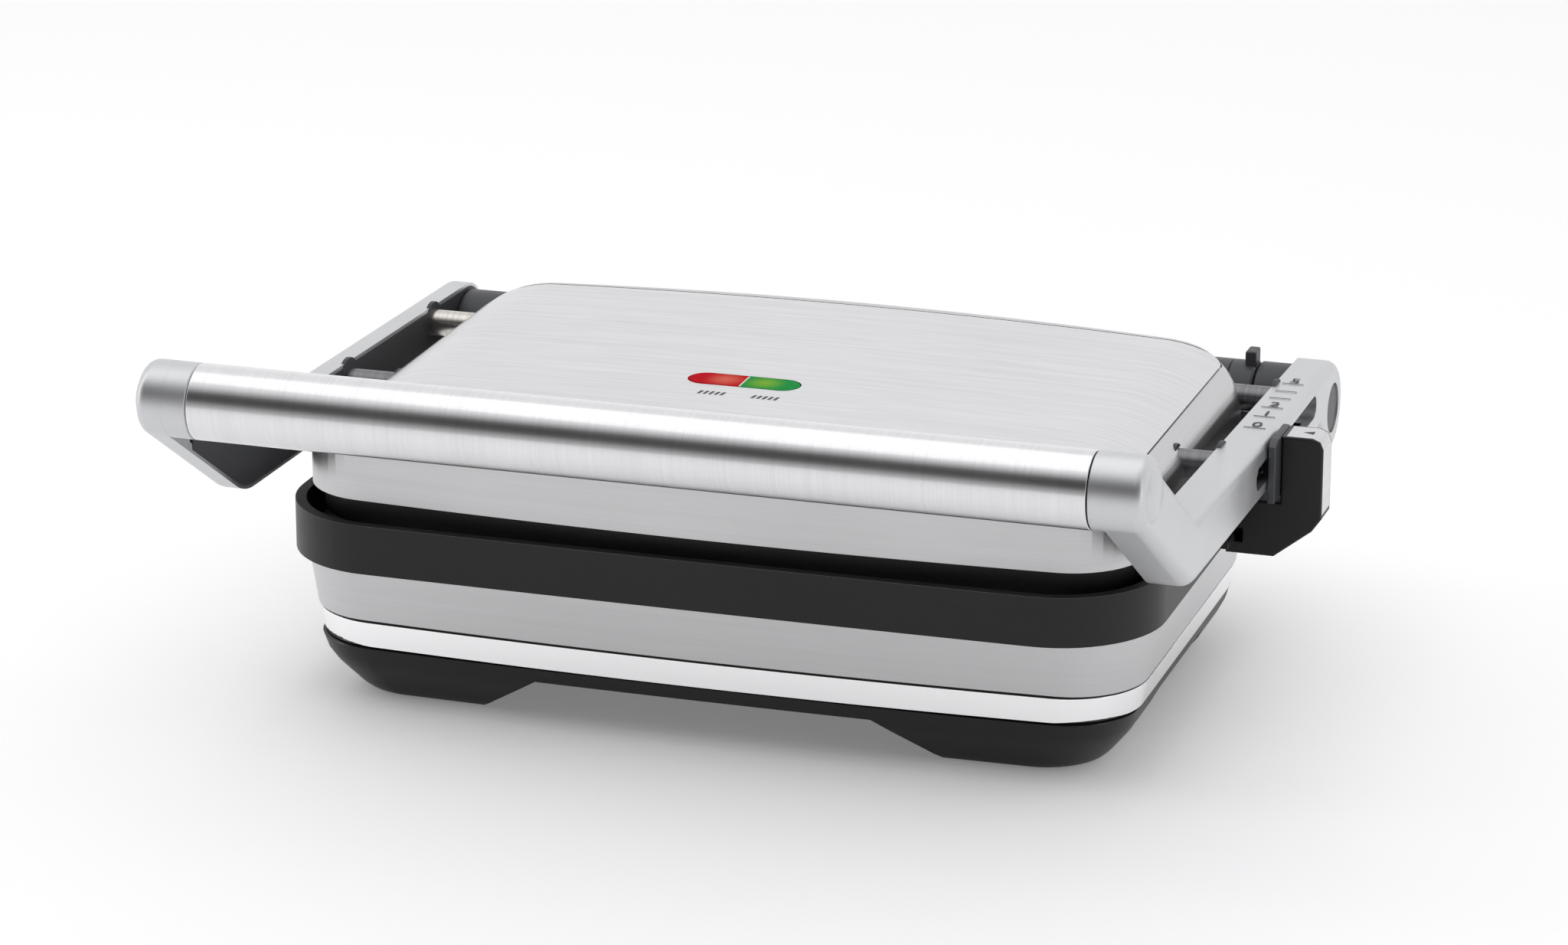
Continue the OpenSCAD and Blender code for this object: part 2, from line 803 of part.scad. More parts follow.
// Front view of the block: a tall outer part beside the arm and a leg that reaches under it
module slider_block() {
    c = block_corner;
    color("#232326") placed() difference() {
        translate([0, slider_y + slider_d, 0]) rotate([90, 0, 0]) linear_extrude(slider_d) union() {
            polygon([[block_in_x, block_low_z + 10], [block_in_x, block_top_z],
                     [slider_x - c, block_top_z], [slider_x - 0.3 * c, block_top_z - 0.3 * c],
                     [slider_x, block_top_z - c], [slider_x, 68.5], [slider_x - 3.4, 63.6],
                     [179, block_low_z], [leg_in_x, block_low_z], [leg_in_x, 73.5],
                     [outer_x + 1.6, 73.5], [outer_x + 1.6, block_low_z + 10]]);
        }
        // Pocket that closes round the catch on the bezel ring
        translate([leg_in_x - 1, slider_y - 1, catch_z - 1.2])
            cube([7.4, 11, catch_h + 2.4]);
        // Step that the bright trim sits in
        trim_shape(2, 0);
        x_rod(block_in_x - 1, block_in_x + 8, screw_r, slider_y + slider_d / 2, slot_z);
    }
}

// Bent strip over the top and the outer side of the block, reaching out over the block's own
// outline and clear of its step by gap
module trim_shape(out, gap) {
    t = trim_t - gap;
    c = block_corner;
    translate([0, slider_y + slider_d - 1.2, 0]) rotate([90, 0, 0]) linear_extrude(slider_d - 2.4) polygon([
        [block_in_x + 1.5, block_top_z - t], [block_in_x + 1.5, block_top_z + out],
        [slider_x - c + 0.4 * out, block_top_z + out],
        [slider_x - 0.3 * c + out, block_top_z - 0.3 * c + out],
        [slider_x + out, block_top_z - c + 0.4 * out], [slider_x + out, trim_low_z],
        [slider_x - t, trim_low_z], [slider_x - t, block_top_z - c - 0.4 * t],
        [slider_x - 0.3 * c - t, block_top_z - 0.3 * c - t],
        [slider_x - c - 0.4 * t, block_top_z - t]]);
}

module slider_trim() {
    color("#cfd0d2") placed() trim_shape(0, 0.05);
}

// Fin outside the arm, neck through the slot and shoe inside the arm
module slider_guide() {
    fin_y = slider_y - 8;
    fin_d = 26;
    fin_top_z = 98.6;
    fin_low_z = 75.5;
    color("#3a3b3f") placed() difference() {
        union() {
            side_prism(outer_x + 0.5, block_in_x - 0.2)
                polygon([[fin_y, fin_low_z], [fin_y, fin_top_z - 1.1], [fin_y + 4, fin_top_z],
                         [fin_y + fin_d - 4, fin_top_z], [fin_y + fin_d, fin_top_z - 4.6],
                         [fin_y + fin_d, fin_low_z]]);
            translate([shoe_x + 2, slider_y + 4.5, slot_z - slot_r + 0.4])
                cube([block_in_x - shoe_x - 4, slider_d - 9, 2 * slot_r - 0.8]);
            translate([shoe_x, slider_y + 2, slot_z - 3.5]) cube([3, slider_d - 4, 8]);
        }
        x_rod(shoe_x - 1, block_in_x + 1, screw_r, slider_y + slider_d / 2, slot_z);
    }
}

module slider_screw() {
    color("#b8b8bc") placed()
        x_rod(shoe_x + 0.2, block_in_x + 7.5, screw_r - 0.05, slider_y + slider_d / 2, slot_z);
}

// Bent leaf under the shoe that rides over the notches of the detent strip
module detent_spring() {
    z = slot_z - 3.7;
    y = slider_y + slider_d / 2;
    color("#c8c9cc") placed() side_prism(shoe_x + 0.3, shoe_x + 1.8)
        polygon([[y - 6, z], [y + 6, z], [y + 1, strip_top_z + 0.4], [y - 1, strip_top_z + 0.4]]);
}

// Steel strip inside the right arm with one notch for each height setting
module detent_strip() {
    notches = 8;
    color("#a9aaae") placed() difference() {
        translate([shoe_x - 0.2, slot_front - 4, strip_top_z - 1.8])
            cube([3, slot_back - slot_front + 8, 1.8]);
        for (i = [0 : notches - 1]) translate([0, slider_y + slider_d / 2 - 6 + i * 9, strip_top_z + 0.8])
            x_rod(shoe_x - 1, shoe_x + 4, 1.8, 0, 0);
    }
}

base_tray();
rubber_feet();
polished_band();
satin_band();
bezel_ring();
lower_plate();
lower_element();
lower_heat_shield();
lower_thermostat();
thermal_fuse();
terminal_block();
hinge_beam();
hinge_post_left();
hinge_post_right();
hinge_shaft_left();
hinge_shaft_right();
lock_catch();
cord_gland();
base_screws();
left_arm();
right_arm();
left_arm_liner();
right_arm_liner();
handle_tube();
handle_tie_rod();
hinge_hub_left();
hinge_hub_right();
pivot_cap_left();
pivot_cap_right();
lid_pin_left();
lid_pin_right();
stop_pin_left();
stop_pin_right();
detent_strip();
lid_shell();
top_panel();
power_lens();
ready_lens();
lamp_holder();
lamps();
lid_skirt();
upper_plate();
upper_element();
upper_heat_shield();
upper_thermostat();
lid_bush_left();
lid_bush_right();
lid_screws();
slider_block();
slider_trim();
slider_guide();
slider_screw();
detent_spring();
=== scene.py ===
import math

import bmesh
import bpy
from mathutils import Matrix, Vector


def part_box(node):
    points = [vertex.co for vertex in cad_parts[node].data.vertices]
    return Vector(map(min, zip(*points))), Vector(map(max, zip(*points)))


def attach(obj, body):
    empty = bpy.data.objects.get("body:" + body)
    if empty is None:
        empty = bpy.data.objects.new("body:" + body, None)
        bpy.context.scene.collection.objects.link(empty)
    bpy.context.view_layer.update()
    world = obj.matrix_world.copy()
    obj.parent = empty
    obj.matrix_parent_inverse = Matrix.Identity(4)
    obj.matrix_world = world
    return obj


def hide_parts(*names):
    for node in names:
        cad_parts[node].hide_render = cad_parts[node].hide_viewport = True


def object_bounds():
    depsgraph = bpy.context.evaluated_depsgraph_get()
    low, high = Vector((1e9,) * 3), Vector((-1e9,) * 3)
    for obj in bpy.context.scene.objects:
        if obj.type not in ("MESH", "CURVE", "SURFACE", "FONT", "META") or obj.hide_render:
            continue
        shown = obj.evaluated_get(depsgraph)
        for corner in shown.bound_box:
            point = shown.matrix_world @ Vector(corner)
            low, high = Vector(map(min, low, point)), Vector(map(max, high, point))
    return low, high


# Panini press. Pieces are modelled in millimetres round the body's middle, front towards -Y,
# and brought to metres in the frame when they are placed.
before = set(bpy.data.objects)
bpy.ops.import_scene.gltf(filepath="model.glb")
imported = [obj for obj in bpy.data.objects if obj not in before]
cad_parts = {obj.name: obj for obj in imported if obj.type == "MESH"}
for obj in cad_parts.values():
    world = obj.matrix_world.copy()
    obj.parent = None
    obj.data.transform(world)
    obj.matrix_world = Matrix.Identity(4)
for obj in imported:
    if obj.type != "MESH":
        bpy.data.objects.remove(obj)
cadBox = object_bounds()
ringLow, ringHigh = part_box("bezel_ring")
middle = (ringLow + ringHigh) / 2
mm = 0.001


def at(x, y, z):
    return Vector((middle.x + x * mm, middle.y + y * mm, z * mm))


# ---- Camera, light and floor

camera = {
    "place": (582, -1809.5, 693.6),
    "aim": (0.6, 0, 77.5),
    "lens": 126.56,
    "sensor": 36,
    "rise": -0.01,
}

bpy.ops.object.camera_add(location=at(*camera["place"]))
eye = bpy.context.object
eye.name = "camera"
sight = at(*camera["aim"]) - at(*camera["place"])
eye.rotation_euler = sight.to_track_quat("-Z", "Y").to_euler()
eye.data.lens = camera["lens"]
eye.data.sensor_width = camera["sensor"]
eye.data.shift_y = camera["rise"]
eye.data.clip_end = 50
bpy.context.scene.camera = eye
bpy.context.scene.view_settings.view_transform = "Standard"
print("camera set")

studio = {
    "floorSize": 9,
    "floorTone": (0.93, 0.93, 0.935, 1),
    "skyStrength": 1.0,
    # how high in the sky, from 0 straight down to 1 straight up, and how bright
    "skyFront": [(0.0, 0.5), (0.5, 0.56), (0.573, 0.36), (0.655, 0.11), (0.74, 0.07), (0.81, 0.13),
                 (0.87, 0.46), (0.93, 0.92), (1.0, 1.05)],
    "skyBack": [(0.0, 0.9), (0.5, 1.0), (0.66, 1.0), (0.8, 0.95), (1.0, 1.05)],
    "floorGlow": 0.18,
}

bpy.ops.mesh.primitive_plane_add(size=studio["floorSize"], location=(middle.x, middle.y, 0))
floor = bpy.context.object
floor.name = "floor"
floorPaint = bpy.data.materials.new("floorPaint")
floorPaint.use_nodes = True
floorShader = floorPaint.node_tree.nodes["Principled BSDF"]
floorShader.inputs["Base Color"].default_value = studio["floorTone"]
floorShader.inputs["Roughness"].default_value = 0.6
floorShader.inputs["Specular IOR Level"].default_value = 0.2
floorShader.inputs["Emission Color"].default_value = (1, 1, 1, 1)
floorShader.inputs["Emission Strength"].default_value = studio["floorGlow"]
floor.data.materials.append(floorPaint)

sky = bpy.data.worlds.new("studioSky")
bpy.context.scene.world = sky
sky.use_nodes = True
air = sky.node_tree
skyWay = air.nodes.new("ShaderNodeTexCoord")
skySplit = air.nodes.new("ShaderNodeSeparateXYZ")
skyShift = air.nodes.new("ShaderNodeMapRange")
skyShift.inputs["From Min"].default_value = -1
skyTurn = air.nodes.new("ShaderNodeMapRange")
skyTurn.inputs["From Min"].default_value = -0.25
skyTurn.inputs["From Max"].default_value = 0.25
skyBlend = air.nodes.new("ShaderNodeMix")
skyBlend.data_type = "RGBA"
air.links.new(skyWay.outputs["Generated"], skySplit.inputs[0])
air.links.new(skySplit.outputs["Z"], skyShift.inputs["Value"])
air.links.new(skySplit.outputs["Y"], skyTurn.inputs["Value"])
for side, socket in (("skyFront", "A"), ("skyBack", "B")):
    skyRamp = air.nodes.new("ShaderNodeValToRGB")
    air.links.new(skyShift.outputs[0], skyRamp.inputs[0])
    stops = skyRamp.color_ramp.elements
    while len(stops) < len(studio[side]):
        stops.new(0.5)
    for stop, (height, tone) in zip(stops, studio[side]):
        stop.position = height
        stop.color = (tone, tone, tone * 1.01, 1)
    air.links.new(skyRamp.outputs[0], skyBlend.inputs[socket])
air.links.new(skyTurn.outputs[0], skyBlend.inputs["Factor"])
air.links.new(skyBlend.outputs["Result"], air.nodes["Background"].inputs["Color"])
air.nodes["Background"].inputs["Strength"].default_value = studio["skyStrength"]

# place in millimetres, size across and along in metres, watts
lamps = {
    "topSoftbox": ((-150, 150, 1500), (1.8, 1.2), 2.5),
    "leftStrip": ((-1300, -300, 700), (0.5, 1.4), 3),
    "rightStrip": ((1400, -500, 600), (0.4, 1.2), 2),
}
for name, (place, size, power) in lamps.items():
    bpy.ops.object.light_add(type="AREA", location=at(*place))
    lamp = bpy.context.object
    lamp.name = name
    lamp.data.shape = "RECTANGLE"
    lamp.data.size, lamp.data.size_y = size
    lamp.data.energy = power
    towards = at(0, 0, 80) - at(*place)
    lamp.rotation_euler = towards.to_track_quat("-Z", "Y").to_euler()
print("light and floor set")


# ---- Finishes

def newGroup(name, inputs, outputs):
    group = bpy.data.node_groups.new(name, "ShaderNodeTree")
    for label, kind, value in inputs:
        socket = group.interface.new_socket(label, in_out="INPUT", socket_type=kind)
        socket.default_value = value
    for label, kind in outputs:
        group.interface.new_socket(label, in_out="OUTPUT", socket_type=kind)
    start = group.nodes.new("NodeGroupInput")
    end = group.nodes.new("NodeGroupOutput")
    return group, start, end


def node(tree, kind, **values):
    made = tree.nodes.new(kind)
    for key, value in values.items():
        setattr(made, key, value)
    return made


vec, num = "NodeSocketVector", "NodeSocketFloat"


# Fine parallel streaks: the vector is stretched so that one direction runs long
def brushedGroup():
    group, start, end = newGroup(
        "brushedGrain",
        [("Vector", vec, (0, 0, 0)), ("Stretch", vec, (10, 900, 900)), ("Depth", num, 0.5)],
        [("Streaks", num), ("Height", num)])
    grow = node(group, "ShaderNodeVectorMath", operation="MULTIPLY")
    fine = node(group, "ShaderNodeTexNoise")
    fine.inputs["Scale"].default_value = 1
    fine.inputs["Detail"].default_value = 4
    wide = node(group, "ShaderNodeVectorMath", operation="SCALE")
    wide.inputs["Scale"].default_value = 0.18
    broad = node(group, "ShaderNodeTexNoise")
    broad.inputs["Scale"].default_value = 1
    broad.inputs["Detail"].default_value = 2
    mix = node(group, "ShaderNodeMix")
    mix.inputs["Factor"].default_value = 0.35
    clear = node(group, "ShaderNodeMapRange")
    clear.inputs["From Min"].default_value = 0.32
    clear.inputs["From Max"].default_value = 0.68
    deep = node(group, "ShaderNodeMath", operation="MULTIPLY")
    link = group.links.new
    link(start.outputs["Vector"], grow.inputs[0])
    link(start.outputs["Stretch"], grow.inputs[1])
    link(grow.outputs[0], fine.inputs["Vector"])
    link(grow.outputs[0], wide.inputs[0])
    link(wide.outputs[0], broad.inputs["Vector"])
    link(fine.outputs["Fac"], mix.inputs["A"])
    link(broad.outputs["Fac"], mix.inputs["B"])
    link(mix.outputs["Result"], clear.inputs["Value"])
    link(clear.outputs[0], deep.inputs[0])
    link(start.outputs["Depth"], deep.inputs[1])
    link(clear.outputs[0], end.inputs["Streaks"])
    link(deep.outputs[0], end.inputs["Height"])
    return group


# Fine pebbled grain of moulded plastic or of a casting's blasted skin
def grainGroup():
    group, start, end = newGroup(
        "mouldedGrain",
        [("Vector", vec, (0, 0, 0)), ("Scale", num, 2000), ("Depth", num, 0.5)],
        [("Grain", num), ("Height", num)])
    pebble = node(group, "ShaderNodeTexNoise")
    pebble.inputs["Detail"].default_value = 3
    cell = node(group, "ShaderNodeTexVoronoi", feature="F1")
    both = node(group, "ShaderNodeMath", operation="ADD")
    half = node(group, "ShaderNodeMath", operation="MULTIPLY")
    half.inputs[1].default_value = 0.5
    deep = node(group, "ShaderNodeMath", operation="MULTIPLY")
    link = group.links.new
    for texture in (pebble, cell):
        link(start.outputs["Vector"], texture.inputs["Vector"])
        link(start.outputs["Scale"], texture.inputs["Scale"])
    link(pebble.outputs["Fac"], both.inputs[0])
    link(cell.outputs["Distance"], both.inputs[1])
    link(both.outputs[0], half.inputs[0])
    link(half.outputs[0], deep.inputs[0])
    link(start.outputs["Depth"], deep.inputs[1])
    link(half.outputs[0], end.inputs["Grain"])
    link(deep.outputs[0], end.inputs["Height"])
    return group


# Soft uneven patches from handling and wiping, used on roughness
def patchGroup():
    group, start, end = newGroup(
        "wipeMarks",
        [("Vector", vec, (0, 0, 0)), ("Scale", num, 12), ("Low", num, 0.3), ("High", num, 0.4)],
        [("Value", num)])
    cloud = node(group, "ShaderNodeTexNoise")
    cloud.inputs["Detail"].default_value = 5
    spread = node(group, "ShaderNodeMapRange")
    spread.inputs["From Min"].default_value = 0.3
    spread.inputs["From Max"].default_value = 0.7
    link = group.links.new
    link(start.outputs["Vector"], cloud.inputs["Vector"])
    link(start.outputs["Scale"], cloud.inputs["Scale"])
    link(cloud.outputs["Fac"], spread.inputs["Value"])
    link(start.outputs["Low"], spread.inputs["To Min"])
    link(start.outputs["High"], spread.inputs["To Max"])
    link(spread.outputs[0], end.inputs["Value"])
    return group


# Soft round glow over a lamp, strongest at its centre
def glowGroup():
    group, start, end = newGroup(
        "lampGlow",
        [("Vector", vec, (0, 0, 0)), ("Centre", vec, (0, 0, 0)), ("Reach", num, 0.009)],
        [("Glow", num)])
    apart = node(group, "ShaderNodeVectorMath", operation="DISTANCE")
    fade = node(group, "ShaderNodeMapRange", interpolation_type="SMOOTHSTEP")
    fade.inputs["To Min"].default_value = 1
    fade.inputs["To Max"].default_value = 0
    link = group.links.new
    link(start.outputs["Vector"], apart.inputs[0])
    link(start.outputs["Centre"], apart.inputs[1])
    link(apart.outputs["Value"], fade.inputs["Value"])
    link(start.outputs["Reach"], fade.inputs["From Max"])
    link(fade.outputs[0], end.inputs["Glow"])
    return group


brushed, moulded, wiped, glowing = brushedGroup(), grainGroup(), patchGroup(), glowGroup()


# tone and shade are the light and dark of the colour; rough is its lowest and highest;
# stretch gives a brushed grain, scale a moulded one; bump is its strength, skin its height;
# glow is the colour over a lamp at glowAt
finishKinds = {
    "black_base": dict(tone=(0.015, 0.015, 0.016), shade=(0.009, 0.009, 0.010), rough=(0.34, 0.46),
                       scale=1500, bump=0.25, skin=0.00005, spec=0.3),
    "foot_rubber": dict(tone=(0.014, 0.014, 0.015), shade=(0.009, 0.009, 0.010), rough=(0.65, 0.85),
                        scale=900, bump=0.4, skin=0.0001),
    "polished_steel": dict(tone=(1.0, 1.0, 1.0), shade=(0.94, 0.94, 0.95), rough=(0.04, 0.10),
                           stretch=(6, 6, 700), bump=0.05, skin=0.00001, metal=1),
    "satin_steel": dict(tone=(0.60, 0.60, 0.605), shade=(0.56, 0.56, 0.565), rough=(0.30, 0.38),
                        stretch=(18, 18, 2400), bump=0.05, skin=0.00001, metal=1),
    "black_bezel": dict(tone=(0.018, 0.018, 0.019), shade=(0.011, 0.011, 0.012), rough=(0.36, 0.46),
                        scale=2200, bump=0.25, skin=0.00004, spec=0.3),
    "grill_plate": dict(tone=(0.060, 0.060, 0.062), shade=(0.038, 0.038, 0.040), rough=(0.42, 0.62),
                        scale=1100, bump=0.4, skin=0.0001),
    "heater_sheath": dict(tone=(0.24, 0.21, 0.19), shade=(0.12, 0.12, 0.15), rough=(0.38, 0.6),
                          scale=700, bump=0.2, skin=0.00005, metal=1),
    "shield_sheet": dict(tone=(0.72, 0.72, 0.73), shade=(0.56, 0.56, 0.58), rough=(0.3, 0.45),
                         stretch=(20, 700, 700), bump=0.15, skin=0.00003, metal=1),
    "ceramic": dict(tone=(0.80, 0.77, 0.70), shade=(0.68, 0.64, 0.56), rough=(0.45, 0.65),
                    scale=1200, bump=0.2, skin=0.00006),
    "brass_part": dict(tone=(0.70, 0.54, 0.24), shade=(0.50, 0.37, 0.16), rough=(0.25, 0.42),
                       scale=900, bump=0.1, skin=0.00003, metal=1),
    "hinge_grey": dict(tone=(0.060, 0.062, 0.068), shade=(0.040, 0.042, 0.047), rough=(0.38, 0.52),
                       scale=1600, bump=0.25, skin=0.00005),
    "turned_steel": dict(tone=(0.70, 0.67, 0.62), shade=(0.50, 0.48, 0.45), rough=(0.18, 0.32),
                         stretch=(900, 12, 12), bump=0.12, skin=0.00002, metal=1),
    "dark_pin": dict(tone=(0.24, 0.24, 0.25), shade=(0.15, 0.15, 0.16), rough=(0.3, 0.42),
                     stretch=(900, 12, 12), bump=0.12, skin=0.00002, metal=1),
    "cast_aluminium": dict(tone=(0.65, 0.655, 0.665), shade=(0.57, 0.575, 0.585), rough=(0.34, 0.46),
                           scale=2600, bump=0.16, skin=0.00003, metal=1),
    "liner_plastic": dict(tone=(0.034, 0.035, 0.038), shade=(0.022, 0.023, 0.026), rough=(0.42, 0.6),
                          scale=1500, bump=0.3, skin=0.00005),
    "brushed_tube": dict(tone=(0.78, 0.78, 0.785), shade=(0.71, 0.71, 0.72), rough=(0.13, 0.20),
                         stretch=(1300, 25, 25), bump=0.05, skin=0.00001, metal=1),
    # pivot_grey, on the pivot caps: their own dark grey, made darker still as painted shade for the hollow in
    # the arm's head they sit in
    "pivot_grey": dict(tone=(0.085, 0.085, 0.09), shade=(0.06, 0.06, 0.064), rough=(0.4, 0.55),
                       scale=1500, bump=0.25, skin=0.00004),
    "brushed_panel": dict(tone=(0.76, 0.76, 0.765), shade=(0.62, 0.62, 0.63), rough=(0.28, 0.38),
                          stretch=(45, 2200, 50), bump=0.06, skin=0.00001, metal=1),
    "red_lens": dict(tone=(0.52, 0.010, 0.018), shade=(0.45, 0.008, 0.014), rough=(0.2, 0.3), scale=500,
                     bump=0.03, skin=0.00002, glow=(0.66, 0.13, 0.09), glowAt=(-17, -13.4, 108), spec=0.02),
    "green_lens": dict(tone=(0.022, 0.30, 0.065), shade=(0.016, 0.25, 0.05), rough=(0.2, 0.3), scale=500,
                       bump=0.03, skin=0.00002, glow=(0.20, 0.42, 0.04), glowAt=(-2.3, -13.4, 108),
                       spec=0.02),
    "lamp_glass": dict(tone=(0.95, 0.80, 0.62), shade=(0.85, 0.66, 0.48), rough=(0.06, 0.12),
                       scale=400, bump=0.05, skin=0.00002, coat=0.6),
    "trim_silver": dict(tone=(0.66, 0.66, 0.67), shade=(0.60, 0.60, 0.61), rough=(0.24, 0.34),
                        stretch=(900, 14, 900), bump=0.1, skin=0.00002, metal=1),
}


def makeFinish(slot, tone, shade, rough, bump, skin, stretch=None, scale=1000, metal=0, coat=0, spec=0.5,
               glow=None, glowAt=None):
    words = slot.split("_")
    name = words[0] + "".join(word.title() for word in words[1:]) + "Finish"
    finish = bpy.data.materials.new(name)
    finish.use_nodes = True
    tree = finish.node_tree
    shader = tree.nodes["Principled BSDF"]
    shader.inputs["Metallic"].default_value = metal
    shader.inputs["Coat Weight"].default_value = coat
    shader.inputs["Specular IOR Level"].default_value = spec
    place = node(tree, "ShaderNodeTexCoord")
    marks = node(tree, "ShaderNodeGroup", node_tree=wiped)
    marks.inputs["Scale"].default_value = 14
    marks.inputs["Low"].default_value, marks.inputs["High"].default_value = rough
    grain = node(tree, "ShaderNodeGroup", node_tree=brushed if stretch else moulded)
    grain.inputs["Depth"].default_value = skin
    if stretch:
        grain.inputs["Stretch"].default_value = stretch
    else:
        grain.inputs["Scale"].default_value = scale
    blend = node(tree, "ShaderNodeMix", data_type="RGBA")
    blend.inputs["A"].default_value = (*shade, 1)
    blend.inputs["B"].default_value = (*tone, 1)
    raised = node(tree, "ShaderNodeBump")
    raised.inputs["Strength"].default_value = bump
    raised.inputs["Distance"].default_value = 1
    link = tree.links.new
    link(place.outputs["Object"], marks.inputs["Vector"])
    link(place.outputs["Object"], grain.inputs["Vector"])
    link(grain.outputs["Streaks" if stretch else "Grain"], blend.inputs["Factor"])
    link(blend.outputs["Result"], shader.inputs["Base Color"])
    link(marks.outputs["Value"], shader.inputs["Roughness"])
    link(grain.outputs["Height"], raised.inputs["Height"])
    link(raised.outputs[0], shader.inputs["Normal"])
    if glow:
        spot = node(tree, "ShaderNodeGroup", node_tree=glowing)
        spot.inputs["Centre"].default_value = at(*glowAt)
        lit = node(tree, "ShaderNodeMix", data_type="RGBA")
        lit.inputs["B"].default_value = (*glow, 1)
        link(place.outputs["Object"], spot.inputs["Vector"])
        link(spot.outputs["Glow"], lit.inputs["Factor"])
        link(blend.outputs["Result"], lit.inputs["A"])
        link(lit.outputs["Result"], shader.inputs["Base Color"])
        link(lit.outputs["Result"], shader.inputs["Emission Color"])
        shader.inputs["Emission Strength"].default_value = 0.06
        shader.inputs["IOR"].default_value = 1.1
    return finish


finishes = {slot: makeFinish(slot, **values) for slot, values in finishKinds.items()}
finishes["print_black"] = makeFinish("print_black", (0.03, 0.03, 0.032), (0.02, 0.02, 0.021), (0.4, 0.5),
                                     0.1, 0.00002, scale=1500, spec=0.3)
# Painted highlight: a light grey for the ring's outer top bevel, standing in for the light that edge catches
finishes["worn_rim"] = makeFinish("worn_rim", (0.22, 0.22, 0.225), (0.17, 0.17, 0.175), (0.3, 0.4),
                                  0.1, 0.00002, scale=1800)
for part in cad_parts.values():
    slot = part.material_slots[0].material.name
    part.material_slots[0].material = finishes[slot]
print("finishes made")


# ---- Modelling steps that several pieces share

def only(*pieces):
    if bpy.context.mode != "OBJECT":
        bpy.ops.object.mode_set(mode="OBJECT")
    bpy.ops.object.select_all(action="DESELECT")
    for piece in pieces:
        piece.select_set(True)
    bpy.context.view_layer.objects.active = pieces[0]


def shape(piece):
    only(piece)
    bpy.ops.object.mode_set(mode="EDIT")
    bpy.ops.mesh.select_all(action="DESELECT")


def done():
    bpy.ops.object.mode_set(mode="OBJECT")


def pick(piece, rule, kind="FACE"):
    bpy.ops.mesh.select_mode(type=kind)
    bpy.ops.mesh.select_all(action="DESELECT")
    form = bmesh.from_edit_mesh(piece.data)
    parts = {"VERT": form.verts, "EDGE": form.edges, "FACE": form.faces}[kind]
    for part in parts:
        if rule(part):
            part.select_set(True)
    form.select_flush_mode()
    bmesh.update_edit_mesh(piece.data)


def level(z):
    return lambda face: abs(face.calc_center_median().z - z) < 0.02 and abs(face.normal.z) > 0.9


def upright(edge):
    low, high = (v.co for v in edge.verts)
    return abs(low.x - high.x) < 0.01 and abs(low.y - high.y) < 0.01


def bake(piece):
    only(piece)
    bpy.ops.object.transform_apply(location=True, rotation=True, scale=True)


def block(name, low, high):
    only(eye)
    spot = [(a + b) / 2 for a, b in zip(low, high)]
    bpy.ops.mesh.primitive_cube_add(size=1, location=spot)
    piece = bpy.context.object
    piece.name = piece.data.name = name
    piece.scale = [b - a for a, b in zip(low, high)]
    bake(piece)
    return piece


def modify(piece, kind, **values):
    only(piece)
    step = piece.modifiers.new(kind.title(), kind)
    for key, value in values.items():
        setattr(step, key, value)
    bpy.ops.object.modifier_apply(modifier=step.name)


def soften(piece, width, steps=3, angle=40):
    modify(piece, "BEVEL", width=width, segments=steps, limit_method="ANGLE",
           angle_limit=math.radians(angle), use_clamp_overlap=True, harden_normals=False)


def combine(piece, other, how="DIFFERENCE"):
    modify(piece, "BOOLEAN", operation=how, object=other, solver="EXACT")
    bpy.data.objects.remove(other)


def tidyMesh(piece):
    shape(piece)
    bpy.ops.mesh.select_all(action="SELECT")
    bpy.ops.mesh.remove_doubles(threshold=0.01)
    bpy.ops.mesh.normals_make_consistent(inside=False)
    done()


# A block whose upright edges are rounded to the corner radius
def roundedBlock(name, width, depth, low, high, corner, steps=8):
    piece = block(name, (-width / 2, -depth / 2, low), (width / 2, depth / 2, high))
    shape(piece)
    pick(piece, upright, "EDGE")
    bpy.ops.mesh.bevel(offset=corner, segments=steps, affect="EDGES")
    done()
    return piece


def sliceAt(places):
    for x in places:
        bpy.ops.mesh.select_all(action="SELECT")
        bpy.ops.mesh.bisect(plane_co=(x, 0, 0), plane_no=(1, 0, 0))


def columnsOf(piece):
    form = bmesh.from_edit_mesh(piece.data)
    return sorted({round(v.co.x, 3) for v in form.verts})


# Pushes the front and back out by a bow that is greatest at the middle
def bowSides(piece, width, bow, columns=12):
    shape(piece)
    sliceAt([width * (i / columns - 0.5) for i in range(1, columns)])
    for x in columnsOf(piece):
        push = bow * (1 - (2 * x / width) ** 2)
        for side in (-1, 1):
            pick(piece, lambda v: abs(v.co.x - x) < 0.002 and v.co.y * side > 0, "VERT")
            bpy.ops.transform.translate(value=(0, side * push, 0))
    done()


def liftTo(piece, z, scaleX, scaleY, rise):
    pick(piece, level(z))
    bpy.ops.mesh.extrude_region_move(TRANSFORM_OT_translate={"value": (0, 0, rise)})
    bpy.ops.transform.resize(value=(scaleX, scaleY, 1), center_override=(0, 0, z + rise))


# Makes the block a wall with no top or bottom, thick inwards
def wallOnly(piece, low, high, thickness):
    shape(piece)
    pick(piece, lambda f: level(low)(f) or level(high)(f))
    bpy.ops.mesh.delete(type="FACE")
    done()
    modify(piece, "SOLIDIFY", thickness=thickness, offset=-1, use_even_offset=True)


